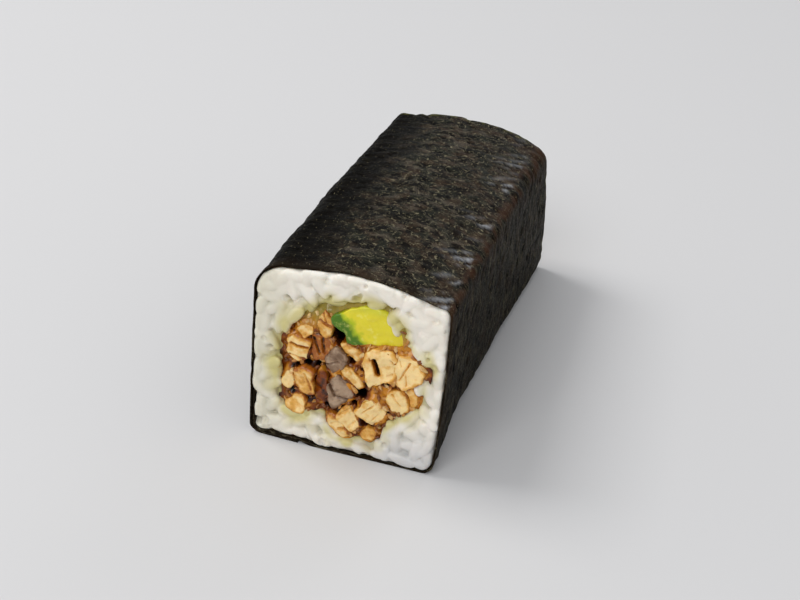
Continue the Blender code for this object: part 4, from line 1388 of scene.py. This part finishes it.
def glaze_bed(flat, outward):
    """The glaze at points (x, z) of an end: its depth, its thinness, how far the pieces are, and hollows."""
    strips = [shape for group in (CHICKEN, DARK_MEAT, SAUCE, AVOCADO) for shape in group.values()]
    apart = np.array([outline_distance(flat, smooth_outline(shape[0], 40, CORNER_CUT)) for shape in strips])
    weight = 1 / (np.maximum(apart, 0) / MM + 0.15) ** 3
    behind = np.array([shape[1] for shape in strips])[:, None]
    level = (weight * behind).sum(0) / weight.sum(0) - FILLING_PROUD / MM
    nearest = apart.min(0)
    away = np.maximum(nearest, 0) / MM
    deep = level + GLAZE_DROP + GLAZE_SAG * np.clip(away / 1.2, 0, 1) ** 1.3
    deep += 2.5 * np.clip(-nearest / (0.5 * MM) - 0.3, 0, 1)
    thin = np.clip(0.95 - away / GLAZE_REACH, 0, 1)
    # Darker glaze: thick glaze, and painted shade round the pieces on the left
    for x, z, radius in THICK_GLAZE:
        thin -= 0.6 * in_spot(flat, x, z, radius, 1.6)
    for x, z, radius in THIN_GLAZE:
        inside = in_spot(flat, x, z, radius, 1.6)
        thin += 0.5 * inside
        deep -= 0.45 * inside
    thin = np.maximum(thin, 0)
    hollow = np.zeros(len(flat))
    for x, z, radius, depth in HOLES:
        inside = in_spot(flat, x, z, radius, 1.5)
        deep += depth * inside ** 2
        # Painted shade: the hollows' glaze goes to near black
        thin -= 1.8 * inside
        hollow = np.maximum(hollow, inside)
    for height, grain, seed in ((0.5, 1.5 * MM, 11.0), (0.14, 0.6 * MM, 12.0)):
        deep += np.array([height * lumps((*p, 0.01 * outward), grain, seed) for p in flat])
    return deep, thin, nearest, hollow


BED_STEPS = 90
BED_COLUMNS = 220
BED_OVERLAP = 0.9 * MM  # how far the bed goes on into the rice
BED_DEPTH = 8 * MM


class TEMAKI_OT_sauce(bpy.types.Operator):
    """Builds the sauce: the strip of it through the roll, and the wet bed that shows between the pieces"""

    bl_idname = "temaki.sauce"
    bl_label = "Sauce"

    def execute(self, context):
        look = context.scene.temaki_filling
        material = sauce_material(look)
        for name, shape in SAUCE.items():
            build_strip(name, shape, look.sides, 0.8, material)
        for outward, name in ((-1, "sauce_bed_front"), (1, "sauce_bed_back")):
            self.build_bed(outward, name, material)
        return {"FINISHED"}

    def build_bed(self, outward, name, material):
        """Glaze that fills the channel behind the pieces and creeps up their sides."""
        centre = Vector(FILLING_CENTRE) * MM
        channel = channel_outline()
        recess, shift = end_offsets(outward)
        turns = [math.tau * k / BED_COLUMNS for k in range(BED_COLUMNS)]
        rays = [Vector((math.cos(turn), math.sin(turn))) for turn in turns]
        rims = [r * (reach_along(channel, centre, r) + BED_OVERLAP) for r in rays]
        flat = np.array([
            tuple(centre + rim * row / BED_STEPS) for row in range(BED_STEPS + 1) for rim in rims
        ])
        deep, thin, _, _ = glaze_bed(flat, outward)

        def place(column, row):
            """Rows go out across the face, and back to the middle behind it."""
            number = min(row, 2 * BED_STEPS - row) * BED_COLUMNS + column
            depth = deep[number] * MM if row <= BED_STEPS else BED_DEPTH
            x, z = flat[number]
            y = end_of_roll(x, z, outward) - outward * (recess + depth)
            return Vector((x + shift.x, y, z + shift.y)), (thin[number],)

        add_piece(name, folded_grid(BED_COLUMNS, 2 * BED_STEPS, place, ["browned"]), material)


SHRED_TRIES = 4200
SHRED_APART = 1.25 * MM
SHRED_FIELD = ((-16, 18), (2.5, 36.5))  # where shreds are tried, in millimetres
SHRED_TOP = 31.5 * MM  # none lie above this, beside the avocado


class TEMAKI_OT_shreds(bpy.types.Operator):
    """Adds the torn shreds of meat that lie in the glaze between the pieces"""

    bl_idname = "temaki.shreds"
    bl_label = "Shreds"

    def execute(self, context):
        light, middle, edge = map(linear, ("eccb8c", "c88a3c", "7a4112"))
        material = meat_material("chicken_shreds_glazed", light, middle, edge, 0.35)
        for outward, name in ((-1, "chicken_shreds_front"), (1, "chicken_shreds_back")):
            self.build_shreds(outward, name, material)
        return {"FINISHED"}

    def build_shreds(self, outward, name, material):
        """Lays shreds at random in the glaze of one end, none close to another or in a hollow."""
        scatter = random.Random(name)
        flat = np.array([
            [scatter.uniform(low, high) * MM for low, high in SHRED_FIELD] for _ in range(SHRED_TRIES)
        ])
        deep, thin, nearest, hollow = glaze_bed(flat, outward)
        usable = (outline_distance(flat, channel_outline()) < -0.5 * MM) & (nearest > 0.2 * MM)
        usable &= (hollow < 0.15) & (flat[:, 1] < SHRED_TOP)
        recess, shift = end_offsets(outward)
        seed_mesh = bpy.data.meshes.new("shred")
        ball = bmesh.new()
        bmesh.ops.create_icosphere(ball, subdivisions=3, radius=1)
        ball.to_mesh(seed_mesh)
        ball.free()
        shape = np.array([tuple(v.co) for v in seed_mesh.vertices])
        bm = bmesh.new()
        kept, browned = [], []
        for number in np.flatnonzero(usable):
            x, z = flat[number]
            if any(math.hypot(x - a, z - b) < SHRED_APART for a, b in kept):
                continue
            kept.append((x, z))
            reach = scatter.uniform(0.45, 1.15) * MM
            thick = scatter.uniform(0.22, 0.5) * MM
            depth = deep[number] - scatter.uniform(-0.15, 0.15)
            y = end_of_roll(x, z, outward) - outward * (recess + depth * MM)
            pose = (
                Matrix.Rotation(scatter.uniform(0, math.pi), 3, "Y")
                @ Matrix.Rotation(scatter.uniform(-0.6, 0.6), 3, "Z")
                @ Matrix.Diagonal((reach, thick, thick * scatter.uniform(0.7, 1.4)))
            )
            offset = scatter.uniform(0, 40)
            ragged = np.array([
                1 + 0.5 * lumps(p, 0.9, offset) + 0.12 * lumps(p, 0.4, offset) for p in shape
            ])
            spots = (shape * ragged[:, None]) @ np.array(pose).T + np.array((x + shift.x, y, z + shift.y))
            laid = seed_mesh.copy()
            laid.vertices.foreach_set("co", spots.ravel())
            bm.from_mesh(laid)
            bpy.data.meshes.remove(laid)
            browned += [scatter.uniform(0.05, 0.85) + 0.35 * (1 - max(0.0, thin[number]))] * len(shape)
        bpy.data.meshes.remove(seed_mesh)
        made = add_piece(name, bm, material)
        paint(made, "browned", browned)


# The lamps: name, place and size in metres, and watts
LAMPS = (
    ("key", (-0.9, 0.1, 1.2), 0.7, 11.0),
    ("front", (-0.2, -1.1, 1.0), 0.7, 7.3),
    ("sheen", (0.35, 1.1, 0.62), 0.5, 1.5),
)
LAMP_TARGET = (0, 0, 20 * MM)
WORLD_COLOUR = (0.95, 0.97, 1.0, 1)
WORLD_STRENGTH = 0.5
CAMERA_TARGET = (0, 0, 19.2 * MM)
CAMERA_SHIFT = (3.71 * MM, 7.22 * MM)  # to the left and down, in the picture's plane


class TEMAKI_OT_stage(bpy.types.Operator):
    """Adds the floor, the lamps and the camera"""

    bl_idname = "temaki.stage"
    bl_label = "Stage"

    def execute(self, context):
        look = context.scene.temaki_stage
        bm = bmesh.new()
        bmesh.ops.create_grid(bm, x_segments=1, y_segments=1, size=4)
        mesh = bpy.data.meshes.new("floor")
        bm.to_mesh(mesh)
        bm.free()
        floor = bpy.data.objects.new("floor", mesh)
        context.scene.collection.objects.link(floor)
        made, tree = new_material("painted_floor_matt")
        wire(tree, tree.nodes["Principled BSDF"], {"Base Color": (*look.floor, 1), "Roughness": 0.85})
        mesh.materials.append(made)
        world = bpy.data.worlds.new("studio")
        world.use_nodes = True
        light = {"Color": WORLD_COLOUR, "Strength": WORLD_STRENGTH}
        wire(world.node_tree, world.node_tree.nodes["Background"], light)
        context.scene.world = world
        context.scene.view_settings.view_transform = "Standard"
        for lamp in LAMPS:
            self.add_lamp(*lamp)
        self.add_camera(look)
        return {"FINISHED"}

    def add_lamp(self, name, place, size, watts):
        """A soft square lamp that faces the roll."""
        lamp = bpy.data.lights.new(name, "AREA")
        lamp.size = size
        lamp.energy = watts
        made = bpy.data.objects.new(name, lamp)
        facing = (Vector(LAMP_TARGET) - Vector(place)).to_track_quat("-Z", "Y")
        made.matrix_world = Matrix.Translation(place) @ facing.to_matrix().to_4x4()
        bpy.context.scene.collection.objects.link(made)

    def add_camera(self, look):
        """The camera at the photograph's angle."""
        a, e = look.azimuth, look.elevation
        back = Vector((math.sin(a) * math.cos(e), -math.cos(a) * math.cos(e), math.sin(e)))
        right = Vector((math.cos(a), math.sin(a), 0))
        up = back.cross(right)
        turned_right = right * math.cos(look.roll) + up * math.sin(look.roll)
        turned_up = up * math.cos(look.roll) - right * math.sin(look.roll)
        place = Vector(CAMERA_TARGET) + back * look.distance
        place -= turned_right * CAMERA_SHIFT[0] + turned_up * CAMERA_SHIFT[1]
        axes = Matrix((turned_right, turned_up, back)).transposed().to_4x4()
        camera = bpy.data.cameras.new("camera")
        camera.lens = look.lens
        camera.clip_start = 0.01
        made = bpy.data.objects.new("camera", camera)
        made.matrix_world = Matrix.Translation(place) @ axes
        bpy.context.scene.collection.objects.link(made)
        bpy.context.scene.camera = made


OPERATORS = (
    TEMAKI_OT_nori, TEMAKI_OT_rice, TEMAKI_OT_chicken, TEMAKI_OT_dark_meat, TEMAKI_OT_avocado,
    TEMAKI_OT_sauce, TEMAKI_OT_shreds, TEMAKI_OT_stage,
)


class TEMAKI_PT_roll(bpy.types.Panel):
    """Lists the roll's pieces and their settings"""

    bl_idname = "TEMAKI_PT_roll"
    bl_label = "Temaki roll"
    bl_space_type = "VIEW_3D"
    bl_region_type = "UI"
    bl_category = "Temaki"

    def draw(self, context):
        for operator in OPERATORS:
            self.layout.operator(operator.bl_idname)
        for name in GROUPS:
            box = self.layout.box()
            group = getattr(context.scene, name)
            for key in group.bl_rna.properties.keys():
                if key not in ("rna_type", "name"):
                    box.prop(group, key)


GROUPS = {
    "temaki_nori": TemakiNoriSettings,
    "temaki_rice": TemakiRiceSettings,
    "temaki_filling": TemakiFillingSettings,
    "temaki_stage": TemakiStageSettings,
}


def register():
    for group in GROUPS.values():
        bpy.utils.register_class(group)
    for name, group in GROUPS.items():
        setattr(bpy.types.Scene, name, PointerProperty(type=group))
    for operator in OPERATORS:
        bpy.utils.register_class(operator)
    bpy.utils.register_class(TEMAKI_PT_roll)


def unregister():
    bpy.utils.unregister_class(TEMAKI_PT_roll)
    for operator in reversed(OPERATORS):
        bpy.utils.unregister_class(operator)
    for name, group in GROUPS.items():
        delattr(bpy.types.Scene, name)
        bpy.utils.unregister_class(group)


def main():
    register()
    for operator in OPERATORS:
        _, name = operator.bl_idname.split(".")
        getattr(bpy.ops.temaki, name)()


if __name__ == "__main__":
    main()
